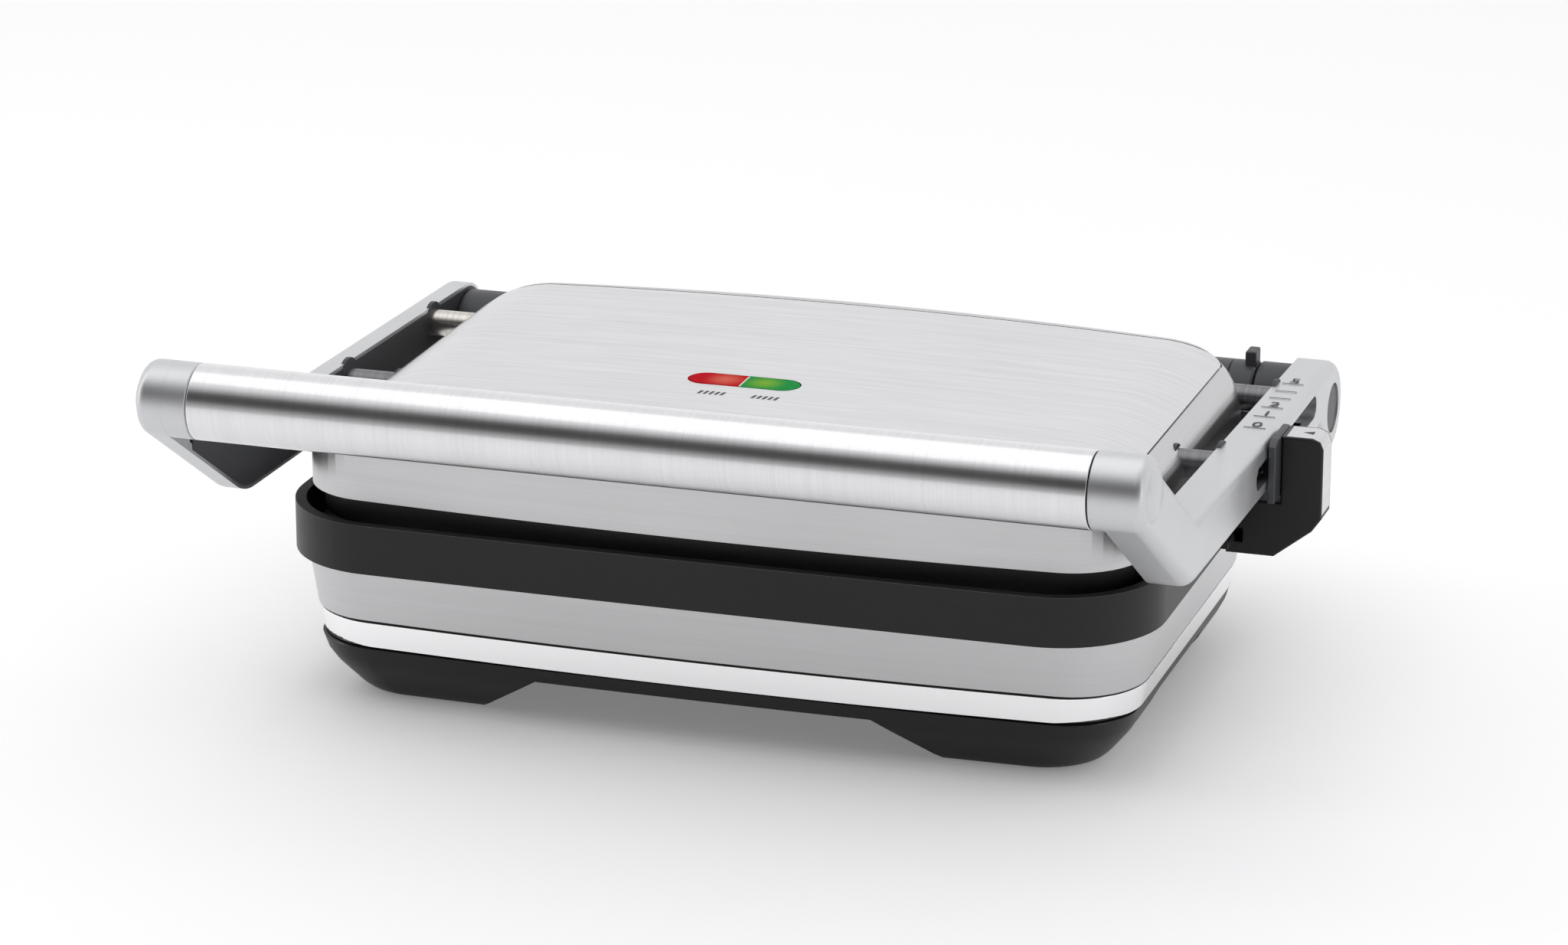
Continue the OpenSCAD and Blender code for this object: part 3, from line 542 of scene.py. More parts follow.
# A solid turned round an axis along X: profile holds (x, radius) from one end to the other
def turned(name, profile, y, z, steps=64):
    only(eye)
    x0, r0 = profile[0]
    bpy.ops.mesh.primitive_circle_add(vertices=steps, radius=r0, fill_type="NGON",
                                      location=(x0, y, z), rotation=(0, math.pi / 2, 0))
    piece = bpy.context.object
    piece.name = piece.data.name = name
    bake(piece)
    shape(piece)
    bpy.ops.mesh.select_all(action="SELECT")
    for (x0, r0), (x1, r1) in zip(profile, profile[1:]):
        bpy.ops.mesh.extrude_region_move(TRANSFORM_OT_translate={"value": (x1 - x0, 0, 0)})
        bpy.ops.transform.resize(value=(1, r1 / r0, r1 / r0), center_override=(x1, y, z))
    bpy.ops.mesh.select_all(action="SELECT")
    bpy.ops.mesh.normals_make_consistent(inside=False)
    done()
    return piece


# A plate cut to a flat outline, with its edges rounded by soft: across X the outline is (y, z),
# across Y it is (x, z)
def cutPlate(name, outline, low, high, soft=0.0, across="X"):
    path = bpy.data.curves.new(name, "CURVE")
    path.dimensions = "2D"
    path.fill_mode = "BOTH"
    line = path.splines.new("POLY")
    line.points.add(len(outline) - 1)
    for spot, (a, b) in zip(line.points, outline):
        spot.co = (a, b, 0, 1)
    line.use_cyclic_u = True
    path.extrude = (high - low) / 2 - soft
    path.bevel_depth = soft
    path.bevel_resolution = 4 if soft > 2 else 2
    path.offset = -soft
    piece = bpy.data.objects.new(name, path)
    bpy.context.scene.collection.objects.link(piece)
    centre = (low + high) / 2
    quarter = math.pi / 2
    piece.location = (centre, 0, 0) if across == "X" else (0, centre, 0)
    piece.rotation_euler = (quarter, 0, quarter) if across == "X" else (quarter, 0, 0)
    only(piece)
    bpy.ops.object.convert(target="MESH")
    piece = bpy.context.object
    piece.data.name = name
    bake(piece)
    tidyMesh(piece)
    return piece


def mirrored(piece, name):
    only(piece)
    bpy.ops.object.duplicate()
    twin = bpy.context.object
    twin.name = twin.data.name = name
    twin.scale.x = -1
    bake(twin)
    shape(twin)
    bpy.ops.mesh.select_all(action="SELECT")
    bpy.ops.mesh.normals_make_consistent(inside=False)
    done()
    return twin


def join(piece, *others):
    only(piece, *others)
    bpy.ops.object.join()
    return piece


# Brings a finished piece to metres in the frame, gives it its body and finish, and hides the CAD nodes it
# stands for
def place(piece, body, slot, *stands, angle=35, finish=None):
    piece.scale = (mm, mm, mm)
    piece.location = (middle.x, middle.y, 0)
    bake(piece)
    bpy.ops.object.shade_smooth_by_angle(angle=math.radians(angle))
    modify(piece, "WEIGHTED_NORMAL", keep_sharp=True)
    piece.data.materials.clear()
    piece.data.materials.append(finishes[finish or slot])
    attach(piece, body)
    if stands:
        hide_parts(*stands)
    return piece


# Gives a placed piece a second finish on the faces that pass rule(spot in millimetres, normal)
def accent(piece, finish, rule):
    piece.data.materials.append(finishes[finish])
    for face in piece.data.polygons:
        spot = Vector((face.center.x - middle.x, face.center.y - middle.y, face.center.z)) / mm
        if rule(spot, face.normal):
            face.material_index = 1


# ---- Base: tray, feet, bands and bezel ring

tray = {
    "levels": [(1.2, 277, 161), (3, 280.5, 165), (6, 285.6, 168.8), (12, 295, 177), (16.4, 299.6, 182),
               (21.5, 302.4, 184.8)],
    "corner": 22,
    "bow": 3,
    "floorLow": 16.4,
    "floorTop": 19,
    "rim": 7,
    "toeX": (62, 87),
    "toeY": (32, 43),
    "tub": (292, 180, 20, 54),
    "tubWall": 2.5,
}
low, width, depth = tray["levels"][0]
nextZ, nextWidth, nextDepth = tray["levels"][1]
trayShell = roundedBlock("trayShell", width, depth, low, nextZ, tray["corner"], 10)
shape(trayShell)
pick(trayShell, level(nextZ))
bpy.ops.transform.resize(value=(nextWidth / width, nextDepth / depth, 1), center_override=(0, 0, nextZ))
for (z0, w0, d0), (z1, w1, d1) in zip(tray["levels"][1:], tray["levels"][2:]):
    liftTo(trayShell, z0, w1 / w0, d1 / d0, z1 - z0)
trayTop = tray["levels"][-1][0]
pick(trayShell, level(trayTop))
bpy.ops.mesh.inset(thickness=tray["rim"])
bpy.ops.mesh.extrude_region_move(TRANSFORM_OT_translate={"value": (0, 0, tray["floorTop"] - trayTop)})
done()
bowSides(trayShell, 303, tray["bow"])
for inner, outer, turn in ((*tray["toeX"], 0), (*tray["toeY"], math.pi / 2)):
    cutter = block("cutter", (-inner, -200, -0.2), (inner, 200, tray["floorLow"]))
    shape(cutter)
    pick(cutter, level(-0.2))
    bpy.ops.transform.resize(value=((outer + 0.5) / inner, 1, 1), center_override=(0, 0, 0))
    done()
    cutter.rotation_euler.z = turn
    bake(cutter)
    combine(trayShell, cutter)
tubWidth, tubDepth, tubLow, tubTop = tray["tub"]
tub = roundedBlock("tub", tubWidth, tubDepth, tubLow, tubTop, 22)
wallOnly(tub, tubLow, tubTop, tray["tubWall"])
place(join(trayShell, tub), "base", "black_base", "base_tray")

pad = {"radius": 12, "height": 4, "spots": [(112, 65), (-112, 65), (112, -65), (-112, -65)]}
bpy.ops.object.select_all(action="DESELECT")
bpy.ops.mesh.primitive_cylinder_add(vertices=48, radius=pad["radius"], depth=pad["height"],
                                    location=(0, 0, pad["height"] / 2))
firstPad = bpy.context.object
bake(firstPad)
shape(firstPad)
pick(firstPad, level(0))
bpy.ops.mesh.inset(thickness=2.5)
bpy.ops.mesh.extrude_region_move(TRANSFORM_OT_translate={"value": (0, 0, 0.8)})
bpy.ops.mesh.inset(thickness=2)
bpy.ops.mesh.extrude_region_move(TRANSFORM_OT_translate={"value": (0, 0, -0.8)})
done()
soften(firstPad, 0.5, 3)
feet = []
for x, y in pad["spots"]:
    only(firstPad)
    bpy.ops.object.duplicate()
    foot = bpy.context.object
    foot.location = (x, y, 0)
    bake(foot)
    feet.append(foot)
bpy.data.objects.remove(firstPad)
feet[0].name = "footPads"
place(join(*feet), "base", "foot_rubber", "rubber_feet")

# low and high z, width and depth at each, corner, bow
bands = {
    "polishedStrip": (21.9, 31.2, (303.6, 191.2), (307.2, 191.6), 27, 5.2, "polished_steel", "polished_band"),
    "satinBand": (31.9, 53.9, (307.5, 191.8), (313, 197.2), 26, 5.6, "satin_steel", "satin_band"),
    "bandGasket": (31.0, 32.2, (306.0, 190.4), (306.0, 190.4), 25, 5.5, "black_base", None),
}
for name, (low, high, foot, head, corner, bow, slot, stands) in bands.items():
    band = roundedBlock(name, foot[0], foot[1] - 2 * bow, low, high, corner, 14)
    shape(band)
    pick(band, level(high))
    grow = (head[0] / foot[0], (head[1] - 2 * bow) / (foot[1] - 2 * bow), 1)
    bpy.ops.transform.resize(value=grow, center_override=(0, 0, high))
    done()
    bowSides(band, foot[0], bow, 20)
    wallOnly(band, low, high, 1.6)
    soften(band, 0.3, 2, 50)
    place(band, "base", slot, *([stands] if stands else []))

ring = {"width": 320, "depth": 211.6, "low": 54, "high": 72, "ledge": 59, "corner": 38, "bow": 1.5,
        "wall": 4, "ledgeWidth": 17.9, "edge": 1.1}
bezel = roundedBlock("bezelRing", ring["width"], ring["depth"] - 2 * ring["bow"], ring["low"],
                     ring["high"], ring["corner"], 14)
shape(bezel)
pick(bezel, level(ring["high"]))
bpy.ops.mesh.inset(thickness=ring["wall"])
bpy.ops.mesh.extrude_region_move(TRANSFORM_OT_translate={"value": (0, 0, ring["ledge"] - ring["high"])})
bpy.ops.mesh.inset(thickness=ring["ledgeWidth"])
pick(bezel, level(ring["low"]))
bpy.ops.mesh.inset(thickness=ring["wall"] + ring["ledgeWidth"])
inner = ring["width"] / 2 - ring["wall"] - ring["ledgeWidth"]
pick(bezel, lambda f: (level(ring["low"])(f) or level(ring["ledge"])(f))
     and all(abs(v.co.x) < inner + 0.1 for v in f.verts))
bpy.ops.mesh.bridge_edge_loops()
done()
bowSides(bezel, ring["width"], ring["bow"])
soften(bezel, ring["edge"], 3, 50)
place(bezel, "base", "black_bezel", "bezel_ring")
# The ring's outer top bevel, facing up and out, takes the painted highlight finish
accent(bezel, "worn_rim", lambda spot, normal: spot.z > ring["high"] - 0.8 and 0.3 < normal.z < 0.98
       and normal.x * spot.x + normal.y * spot.y > 0)

catch = block("lockCatch", (160.1, 2, 58.5), (165.5, 12, 61.5))
soften(catch, 0.5)
place(catch, "base", "black_bezel", "lock_catch")
print("base made")


# ---- Grill plates

plate = {"width": 284, "depth": 176, "corner": 20, "ribPitch": 11, "ribs": 23, "ribLength": 154,
         "ribFoot": 5.2, "ribTop": 3.0, "rim": 5}


# Deck at z = 0 with its rim and ribs above it; back is the underside
def ribbedPlate(name, back, deckTop, rimTop, ribTop):
    piece = roundedBlock(name, plate["width"], plate["depth"], back, rimTop, plate["corner"], 10)
    shape(piece)
    pick(piece, level(rimTop))
    bpy.ops.mesh.inset(thickness=plate["rim"])
    bpy.ops.mesh.extrude_region_move(TRANSFORM_OT_translate={"value": (0, 0, deckTop - rimTop)})
    done()
    soften(piece, 0.6 * abs(rimTop - deckTop) if abs(rimTop - deckTop) < 2 else 1.1, 3)
    first = -(plate["ribs"] - 1) / 2 * plate["ribPitch"]
    half = plate["ribFoot"] / 2
    length = plate["ribLength"] / 2
    foot = deckTop - 0.3 if ribTop > deckTop else deckTop + 0.3
    rib = block("rib", (first - half, -length, min(foot, ribTop)), (first + half, length, max(foot, ribTop)))
    shape(rib)
    pick(rib, level(ribTop))
    bpy.ops.transform.resize(value=(plate["ribTop"] / plate["ribFoot"], 0.985, 1),
                             center_override=(first, 0, ribTop))
    done()
    soften(rib, 0.8, 3, 30)
    modify(rib, "ARRAY", count=plate["ribs"], use_relative_offset=False, use_constant_offset=True,
           constant_offset_displace=(plate["ribPitch"], 0, 0))
    return join(piece, rib)


place(ribbedPlate("lowerGrill", 59.2, 60.8, 63.6, 63), "base", "grill_plate", "lower_plate")
upperGrill = ribbedPlate("upperGrill", -77.2, -73, -70.6, -70)
upperGrill.rotation_euler.x = math.pi
bake(upperGrill)
place(upperGrill, "lid", "grill_plate", "upper_plate")
print("grill plates made")


# ---- Lid: shell, brushed panel, indicator, skirt

lid = {"width": 306.8, "depth": 198.7, "low": 78, "top": 109, "corner": 25, "bow": 6.4, "wall": 2,
       "roll": 35.4, "rollDrop": 23, "crown": 1.7, "edge": 4.5}
panel = {"width": 284.7, "depth": 183.1, "corner": 6, "bow": 3.2, "thickness": 1, "gap": 0.55, "edge": 0.2}
lamp = {"x": -10, "y": -13.4, "length": 42, "width": 13.5, "proud": 0.15, "gap": 0.2}


# Height of the lid's top at x from the middle: nearly flat, then rolling down to the side
def crownAt(x):
    start = lid["width"] / 2 - lid["roll"]
    if abs(x) <= start:
        return lid["top"] - lid["crown"] * (x / start) ** 2
    reach = min(1, (abs(x) - start) / lid["roll"])
    return lid["top"] - lid["crown"] - lid["rollDrop"] * (1 - math.sqrt(1 - reach * reach))


# A block with bowed long sides whose top is cut into columns, each lowered to the crown less drop
def roofed(name, width, depth, low, corner, bow, edge=0.0, drop=0.0):
    piece = roundedBlock(name, width, depth - 2 * bow, low, lid["top"], corner, 10)
    shape(piece)
    if edge:
        pick(piece, lambda e: all(v.co.z > lid["top"] - 0.01 for v in e.verts), "EDGE")
        bpy.ops.mesh.bevel(offset=edge, segments=4, affect="EDGES")
    start = lid["width"] / 2 - lid["roll"]
    rolls = [start + lid["roll"] * math.sin(math.radians(t)) for t in range(0, 90, 7)]
    flats = [start * i / 8 for i in range(8)]
    own = [x for x in columnsOf(piece) if abs(x) < width / 2 - 0.2]
    added = [side * x for x in flats + rolls if x < width / 2 - 0.5 for side in (-1, 1)]
    free = [x for x in added if all(abs(x - other) > 0.4 for other in own)]
    sliceAt(sorted(set(own) | set(free)))
    for x in columnsOf(piece):
        push = bow * (1 - (2 * x / width) ** 2)
        for side in (-1, 1):
            pick(piece, lambda v: abs(v.co.x - x) < 0.002 and v.co.y * side > 0, "VERT")
            bpy.ops.transform.translate(value=(0, side * push, 0))
        pick(piece, lambda v: abs(v.co.x - x) < 0.002 and v.co.z > (low + lid["top"]) / 2, "VERT")
        bpy.ops.transform.translate(value=(0, 0, crownAt(x) - lid["top"] - drop))
    done()
    return piece


lidShell = roofed("lidShell", lid["width"], lid["depth"], lid["low"], lid["corner"], lid["bow"], lid["edge"])
shape(lidShell)
pick(lidShell, level(lid["low"]))
bpy.ops.mesh.delete(type="FACE")
done()
modify(lidShell, "SOLIDIFY", thickness=lid["wall"], offset=-1, use_even_offset=True)
grow = 2 * panel["gap"]
recess = roofed("recess", panel["width"] + grow, panel["depth"] + grow, 20, panel["corner"] + panel["gap"],
                panel["bow"], drop=panel["thickness"] + 0.1)
shape(recess)
pick(recess, level(20))
bpy.ops.mesh.delete(type="FACE")
pick(recess, lambda f: f.normal.z > 0.2 and f.calc_center_median().z > 60)
bpy.ops.mesh.extrude_region_move(TRANSFORM_OT_translate={"value": (0, 0, 30)})
pick(recess, lambda v: v.co.z < 20.1, "VERT")
bpy.ops.mesh.delete(type="VERT")
bpy.ops.mesh.select_mode(type="EDGE")
bpy.ops.mesh.select_non_manifold()
bpy.ops.mesh.edge_face_add()
done()
tidyMesh(recess)
combine(lidShell, recess)
soften(lidShell, 0.3, 2, 50)
place(lidShell, "lid", "satin_steel", "lid_shell", angle=30)


# Painted shade in the seam round the panel: the walls and floor of the recess it sits in take the black
# finish
def inSeamShade(spot, normal):
    depth = crownAt(spot.x) - spot.z
    reach = panel["width"] / 2 + panel["gap"] + 0.1
    side = panel["depth"] / 2 + panel["gap"] + 0.1 - panel["bow"] * (2 * spot.x / panel["width"]) ** 2
    return normal.z > -0.5 and 0.3 < depth < 1.5 and abs(spot.x) < reach and abs(spot.y) < side


# The recess faces round the panel get the painted shade
accent(lidShell, "black_bezel", inSeamShade)

topPanel = roofed("topPanel", panel["width"], panel["depth"], lid["low"] + 4, panel["corner"], panel["bow"])
shape(topPanel)
pick(topPanel, lambda f: f.normal.z < 0.05)
bpy.ops.mesh.delete(type="FACE")
done()
shape(topPanel)
for point, way in (((0, lamp["y"] - 9, 0), (0, 1, 0)), ((0, lamp["y"] + 9, 0), (0, 1, 0)),
                   ((lamp["x"] - 24, 0, 0), (1, 0, 0)), ((lamp["x"] + 24, 0, 0), (1, 0, 0))):
    bpy.ops.mesh.select_all(action="SELECT")
    bpy.ops.mesh.bisect(plane_co=point, plane_no=way)
done()
modify(topPanel, "SOLIDIFY", thickness=panel["thickness"], offset=-1, use_even_offset=True)
window = roundedBlock("window", lamp["length"] + 0.3, lamp["width"] + 0.3, 90, 120,
                      lamp["width"] / 2 + 0.14, 16)
window.location = (lamp["x"], lamp["y"], 0)
bake(window)
combine(topPanel, window)
soften(topPanel, panel["edge"], 2, 50)
place(topPanel, "lid", "brushed_panel", "top_panel", angle=30)
# Painted shade: the panel's upright walls, round the window and round its outer edge, take the black finish
# for the shade in the gaps beside them
accent(topPanel, "black_bezel", lambda spot, normal: abs(normal.z) < 0.5)

lensTop = crownAt(lamp["x"]) + lamp["proud"]
for name, side, slot, stands in (("redLens", -1, "red_lens", "power_lens"),
                                 ("greenLens", 1, "green_lens", "ready_lens")):
    length, width = lamp["length"] - 2 * lamp["gap"], lamp["width"] - 2 * lamp["gap"]
    lens = roundedBlock(name, length, width, lensTop - 3.8, lensTop, width / 2 - 0.01, 16)
    shape(lens)
    bpy.ops.mesh.select_all(action="SELECT")
    bpy.ops.mesh.bisect(plane_co=(side * 0.25, 0, 0), plane_no=(side, 0, 0), use_fill=True, clear_inner=True)
    pick(lens, lambda e: all(v.co.z > lensTop - 0.01 for v in e.verts), "EDGE")
    bpy.ops.mesh.bevel(offset=0.4, segments=3, affect="EDGES")
    done()
    lens.location = (lamp["x"], lamp["y"], 0)
    bake(lens)
    place(lens, "lid", slot, stands)

divider = block("lensDivider", (lamp["x"] - 0.3, lamp["y"] - 6.2, lensTop - 3.8),
                (lamp["x"] + 0.3, lamp["y"] + 6.2, lensTop - 0.05))
place(divider, "lid", "ceramic")

skirt = {"width": 299, "depth": 191, "low": 68, "high": 80.8, "corner": 24, "bow": 5.4, "wall": 2.5}
lidSkirt = roundedBlock("lidSkirt", skirt["width"], skirt["depth"] - 2 * skirt["bow"], skirt["low"],
                        skirt["high"], skirt["corner"], 12)
bowSides(lidSkirt, skirt["width"], skirt["bow"], 16)
wallOnly(lidSkirt, skirt["low"], skirt["high"], skirt["wall"])
soften(lidSkirt, 0.8, 3)
flange = roundedBlock("flange", skirt["width"] - 4.6, skirt["depth"] - 5, 78, 80.6, 21)
shape(flange)
for z in (78, 80.6):
    pick(flange, level(z))
    bpy.ops.mesh.inset(thickness=10)
pick(flange, lambda f: level(f.calc_center_median().z)(f) and all(abs(v.co.x) < 139 for v in f.verts))
bpy.ops.mesh.bridge_edge_loops()
done()
place(join(lidSkirt, flange), "lid", "black_bezel", "lid_skirt")
print("lid made")


# ---- Handle tube and arms

arm = {"tubeY": -158.4, "tubeZ": 130.6, "capRadius": 13.3, "slope": 32.5, "above": 10.5, "topY": -94,
       "topZ": 102.1, "fall": 0.03, "lowZ": 77.4, "lowFall": 0.02, "headRadius": 17.4, "pivotY": 117.5,
       "pivotZ": 78, "heelY": 96, "elbow": 30, "outer": 177.5, "fillet": 4.2, "wall": 3,
       "leftThick": 10.5, "rightThick": 14.5, "capRecess": 1.2, "capSize": 9.4,
       "linerInset": 1.2}
tube = {"half": 157.9, "radius": 13.3, "wall": 1.5}

bpy.ops.object.select_all(action="DESELECT")
bpy.ops.mesh.primitive_cylinder_add(vertices=128, radius=tube["radius"], depth=2 * tube["half"],
                                    end_fill_type="NOTHING", location=(0, arm["tubeY"], arm["tubeZ"]),
                                    rotation=(0, math.pi / 2, 0))
handleTube = bpy.context.object
handleTube.name = handleTube.data.name = "handleTube"
bake(handleTube)
modify(handleTube, "SOLIDIFY", thickness=tube["wall"], offset=-1)
soften(handleTube, 0.35, 3, 60)
place(handleTube, "handle_frame", "brushed_tube", "handle_tube")


def meet(p, u, q, v):
    gap = q - p
    return p + u * ((gap.x * v.y - gap.y * v.x) / (u.x * v.y - u.y * v.x))


def arc(centre, radius, start, end, steps):
    turns = [math.radians(start + (end - start) * i / steps) for i in range(steps + 1)]
    return [centre + radius * Vector((math.cos(a), math.sin(a))) for a in turns]


# Side view of an arm as (y, z) points, drawn inset inside its true outline
def armOutline(inset):
    slope = math.radians(arm["slope"])
    along = Vector((math.cos(slope), -math.sin(slope)))
    up = Vector((math.sin(slope), math.cos(slope)))
    grip = Vector((arm["tubeY"], arm["tubeZ"]))
    head = Vector((arm["pivotY"], arm["pivotZ"]))
    topWay = Vector((1, -arm["fall"])).normalized()
    lowWay = Vector((1, -arm["lowFall"])).normalized()
    upper = grip + up * (arm["above"] - inset)
    lower = grip - up * (arm["capRadius"] - inset)
    top = Vector((arm["topY"], arm["topZ"] - inset))
    low = Vector((0, arm["lowZ"] + inset))
    notch = meet(upper, along, top, topWay)
    corner = meet(lower, along, low, lowWay)
    lean = math.degrees(math.acos((arm["above"] - inset) / (arm["capRadius"] - inset)))
    bend = arm["elbow"]
    centre = meet(corner + up * bend, along, corner + Vector((-lowWay.y, lowWay.x)) * bend, lowWay)
    lowTurn = 270 - math.degrees(math.atan(arm["lowFall"]))
    legTurn = 270 - arm["slope"]
    return (arc(grip, arm["capRadius"] - inset, legTurn, 90 - arm["slope"] - lean, 40)
            + [notch]
            + arc(head, arm["headRadius"] - inset, 90, -128, 32)
            + [Vector((arm["heelY"], low.y - arm["lowFall"] * arm["heelY"]))]
            + arc(centre, bend, lowTurn, legTurn, 12))


def cutAway(piece, point, normal):
    shape(piece)
    bpy.ops.mesh.select_all(action="SELECT")
    bpy.ops.mesh.bisect(plane_co=point, plane_no=normal, use_fill=True, clear_inner=True)
    done()


bosses = [(arm["pivotY"], arm["pivotZ"], 10), (-4, 89.5, 7.5), (82, 89, 7)]


# Casting on the right; the left one is its mirror with another thickness
def armCasting(name, thick):
    outer = arm["outer"]
    inside = outer - thick
    piece = cutPlate(name, armOutline(0), inside - thick, outer, arm["fillet"])
    cutAway(piece, (inside, 0, 0), (1, 0, 0))
    cap = turned("cap", [(158.2, 12.8), (158.6, 13.25), (outer - 5, 13.25)], arm["tubeY"], arm["tubeZ"], 96)
    combine(piece, cap, "UNION")
    crown = turned("crown", [(outer - 3, 9.2), (outer, 9.2), (outer + 0.9, 8.2), (outer + 1.6, 6),
                             (outer + 1.95, 3), (outer + 2, 0.3)], arm["tubeY"], arm["tubeZ"])
    combine(piece, crown, "UNION")
    hollow = cutPlate("hollow", armOutline(arm["wall"]), inside - 1, outer - arm["wall"])
    cutAway(hollow, (0, arm["tubeY"] + 10, 0), (0, 1, 0))
    combine(piece, hollow)
    for y, z, radius in bosses:
        boss = turned("boss", [(inside + 2.4, radius - 0.5), (inside + 2.9, radius),
                               (outer - arm["wall"] + 0.6, radius)], y, z, 40)
        combine(piece, boss, "UNION")
    seat = turned("seat", [(outer - arm["capRecess"], arm["capSize"]), (outer + 2, arm["capSize"])],
                  arm["pivotY"], arm["pivotZ"], 64)
    combine(piece, seat)
    return piece


def armLiner(name, thick):
    inside = arm["outer"] - thick
    piece = cutPlate(name, armOutline(arm["linerInset"]), inside - 0.25, inside + 2, 0.2)
    cutAway(piece, (0, arm["tubeY"] + 12, 0), (0, 1, 0))
    marks = [turned("mark", [(inside + 1.2, r), (inside - 0.2, r), (inside - 0.4, r - 0.3)], y, z, 40)
             for y, z, r in ((-4, 91.5, 9), (82, 90, 8), (arm["pivotY"], arm["pivotZ"], 12), (-60, 92, 4))]
    return join(piece, *marks)


rightArm = armCasting("rightArm", arm["rightThick"])
slotCut = block("slotCut", (172, -8.25, 83.75), (182, 88.25, 92.25))
shape(slotCut)
pick(slotCut, lambda e: abs(e.verts[0].co.x - e.verts[1].co.x) > 5, "EDGE")
bpy.ops.mesh.bevel(offset=4.24, segments=10, affect="EDGES")
done()
combine(rightArm, slotCut)
place(rightArm, "handle_frame", "cast_aluminium", "right_arm", angle=32)
leftHalf = armCasting("leftHalf", arm["leftThick"])
place(mirrored(leftHalf, "leftArm"), "handle_frame", "cast_aluminium", "left_arm", angle=32)
rightLiner = armLiner("rightLiner", arm["rightThick"])
place(rightLiner, "handle_frame", "liner_plastic", "right_arm_liner")
leftLinerHalf = armLiner("leftLinerHalf", arm["leftThick"])
place(mirrored(leftLinerHalf, "leftLiner"), "handle_frame", "liner_plastic", "left_arm_liner")
for spare in (leftHalf, leftLinerHalf):
    bpy.data.objects.remove(spare)
print("arms made")


# ---- Hinge and pins

# profile, y, z, body, slot and node on the right, slot and node on the left
pins = {
    "pivotCap": ([(176.4, 9.2), (176.7, 9.2), (176.9, 8.9), (177.0, 6), (177.05, 0.3)], 117.5, 78,
                 "handle_frame", "pivot_grey", "pivot_cap"),
    "hub": ([(149.3, 14.2), (150.1, 15), (162.1, 15), (162.9, 14.2)], 117.5, 78, "handle_frame",
            "hinge_grey", "hinge_hub"),
    "lidPin": ([(143, 4.4), (143.6, 5), (173.9, 5)], -4, 91.5, "handle_frame", "dark_pin", "lid_pin"),
    "stopPin": ([(143, 4.4), (143.6, 5), (170.4, 5)], 82, 90, "handle_frame", "dark_pin", "stop_pin"),
    "lidBush": ([(133.5, 7.5), (134.1, 8.1), (136.4, 8.1), (137, 6.6), (147.6, 6.6), (148, 6.2)], -4, 91.5,
                "lid", "liner_plastic", "lid_bush"),
}
leftSlots = {"stopPin": "turned_steel"}
for name, (profile, y, z, body, slot, stem) in pins.items():
    right = turned(name + "Right", profile, y, z)
    left = mirrored(right, name + "Left")
    if name == "hub":
        shape(left)
        pick(left, lambda v: v.co.x < -160, "VERT")
        bpy.ops.transform.translate(value=(-4, 0, 0))
        done()
    place(right, body, slot, stem + "_right", angle=50)
    place(left, body, leftSlots.get(name, slot), stem + "_left", angle=50)

beam = {"half": 148.8, "radius": 15, "seam": 139, "tabIn": 144.5, "tabTop": 98}
half, radius, seam = beam["half"], beam["radius"], beam["seam"]
beamProfile = [(-half, radius - 0.8), (-half + 0.8, radius), (-seam - 0.4, radius), (-seam, radius - 0.5),
               (-seam + 0.4, radius), (seam - 0.4, radius), (seam, radius - 0.5), (seam + 0.4, radius),
               (half - 0.8, radius), (half, radius - 0.8)]
hingeBeam = turned("hingeBeam", beamProfile, arm["pivotY"], arm["pivotZ"], 72)
front = block("front", (-200, 0, 0), (200, 106.2, 72.4))
combine(hingeBeam, front)
tab = block("tab", (beam["tabIn"], 113.5, 88), (half - 0.1, 121.5, beam["tabTop"]))
soften(tab, 0.8, 3)
combine(hingeBeam, tab, "UNION")
place(hingeBeam, "base", "hinge_grey", "hinge_beam")

postOutline = [Vector(p) for p in ((96.6, 34), (96.6, 53.6), (106.2, 53.6), (106.2, 74), (130.5, 74),
                                   (130.5, 58), (122.5, 40))]
post = cutPlate("postRight", postOutline, 100, 132, 0.9)
bore = turned("bore", [(90, 15.1), (140, 15.1)], arm["pivotY"], arm["pivotZ"], 72)
combine(post, bore)
otherPost = mirrored(post, "postLeft")
place(post, "base", "hinge_grey", "hinge_post_right")
place(otherPost, "base", "hinge_grey", "hinge_post_left")
print("hinge made")


# ---- Height slider

slider = {"front": 15, "back": 30, "inX": 181, "outX": 196, "top": 98.2, "low": 53, "corner": 4}
c = slider["corner"]
blockOutline = [Vector(p) for p in (
    (slider["inX"], 73.5), (slider["inX"], slider["top"]), (slider["outX"] - c, slider["top"]),
    (slider["outX"] - 0.3 * c, slider["top"] - 0.3 * c), (slider["outX"], slider["top"] - c),
    (slider["outX"], 68.5), (192.6, 63.6), (179, slider["low"]), (161.5, slider["low"]), (161.5, 73.5))]
sliderBlock = cutPlate("sliderBlock", blockOutline, slider["front"], slider["back"], 0.9, "Y")
pocket = block("pocket", (160.5, 14, 57.3), (167.9, 25, 62.7))
combine(sliderBlock, pocket)
place(sliderBlock, "height_slider", "black_base", "slider_block")

t = 1.15
trimOutline = [Vector(p) for p in (
    (182.5, slider["top"] - t), (182.5, slider["top"] + 0.02), (192, slider["top"] + 0.02),
    (194.8, 97.0), (196.02, 94.2), (196.02, 70), (196 - t, 70), (196 - t, 93.7),
    (194.8 - t, 97.0 - t), (191.5, slider["top"] - t))]
sliderTrim = cutPlate("sliderTrim", trimOutline, 16.2, 28.8, 0.2, "Y")
place(sliderTrim, "height_slider", "trim_silver", "slider_trim")

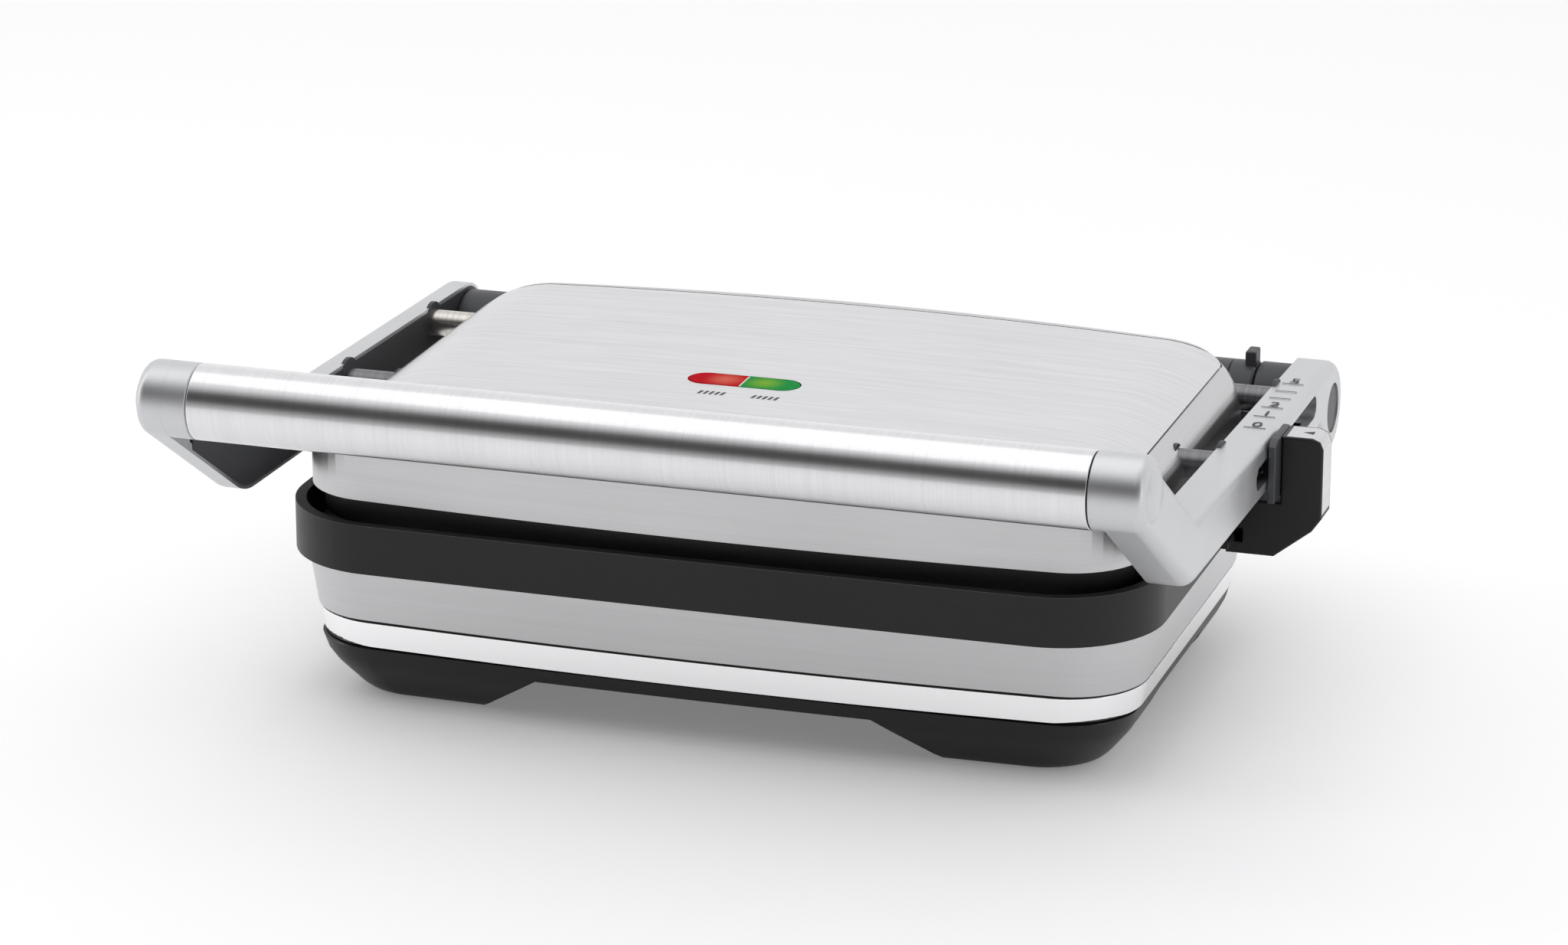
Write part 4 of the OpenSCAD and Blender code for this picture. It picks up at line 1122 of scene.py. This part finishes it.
finOutline = [Vector(p) for p in ((7, 75.5), (7, 96.5), (11, 98.6), (29, 98.6), (33, 94), (33, 75.5))]
fin = cutPlate("sliderFin", finOutline, 178, 180.8, 0.6)
neck = block("neck", (173.1, 19.5, 84.2), (178.2, 25.5, 91.8))
shoe = block("shoe", (171.1, 17, 84.5), (174.1, 28, 92.5))
soften(shoe, 0.5)
place(join(fin, neck, shoe), "height_slider", "hinge_grey", "slider_guide")
print("slider made")


# ---- Printed marks: numbers on the arm, ticks under the indicator, arrow on the slider

armMarks = {"x": 169.6, "size": 8, "numbers": [("0", 25.6), ("1", 40.9), ("2", 53.5), ("5", 87.1)],
            "ticks": [62.3, 72.1], "ink": 0.04}


def armTop(y):
    return arm["topZ"] - arm["fall"] * (y - arm["topY"])


inks = []
for digit, y in armMarks["numbers"]:
    only(eye)
    bpy.ops.object.text_add(location=(armMarks["x"], y, armTop(y)), rotation=(-math.atan(arm["fall"]), 0, 0))
    text = bpy.context.object
    text.data.body = digit
    text.data.size = armMarks["size"]
    text.data.extrude = armMarks["ink"]
    text.data.align_x = "CENTER"
    text.data.align_y = "CENTER"
    bpy.ops.object.convert(target="MESH")
    bake(bpy.context.object)
    inks.append(bpy.context.object)
for y in armMarks["ticks"] + [number[1] - 4.2 for number in armMarks["numbers"]]:
    tick = block("tick", (armMarks["x"] - 4, y - 0.25, armTop(y) - 0.04),
                 (armMarks["x"] + 4, y + 0.25, armTop(y) + 0.04))
    inks.append(tick)
inks[0].name = "armMarks"
place(join(*inks), "handle_frame", "black_base", finish="print_black")

dashes = []
for start in (-21.4, -1.4):
    for i in range(5):
        x = start + 2.1 * i
        z = crownAt(x)
        dash = block("dash", (x - 0.55, -31.6, z - 0.03), (x + 0.55, -28, z + 0.04))
        shape(dash)
        pick(dash, lambda v: v.co.y > -30, "VERT")
        bpy.ops.transform.translate(value=(0.5, 0, 0))
        done()
        dashes.append(dash)
dashes[0].name = "lampMarks"
place(join(*dashes), "lid", "black_base", finish="print_black")

arrowOutline = [Vector(p) for p in ((187.3, 22.5), (191.2, 20.7), (191.2, 24.3))]
arrow = cutPlate("sliderArrow", arrowOutline, -0.04, 0.04, 0, "Y")
arrow.rotation_euler.x = -math.pi / 2
arrow.location = (0, 0, slider["top"] + 0.03)
bake(arrow)
place(arrow, "height_slider", "black_base", finish="print_black")
print("marks made")

low, high = cadBox
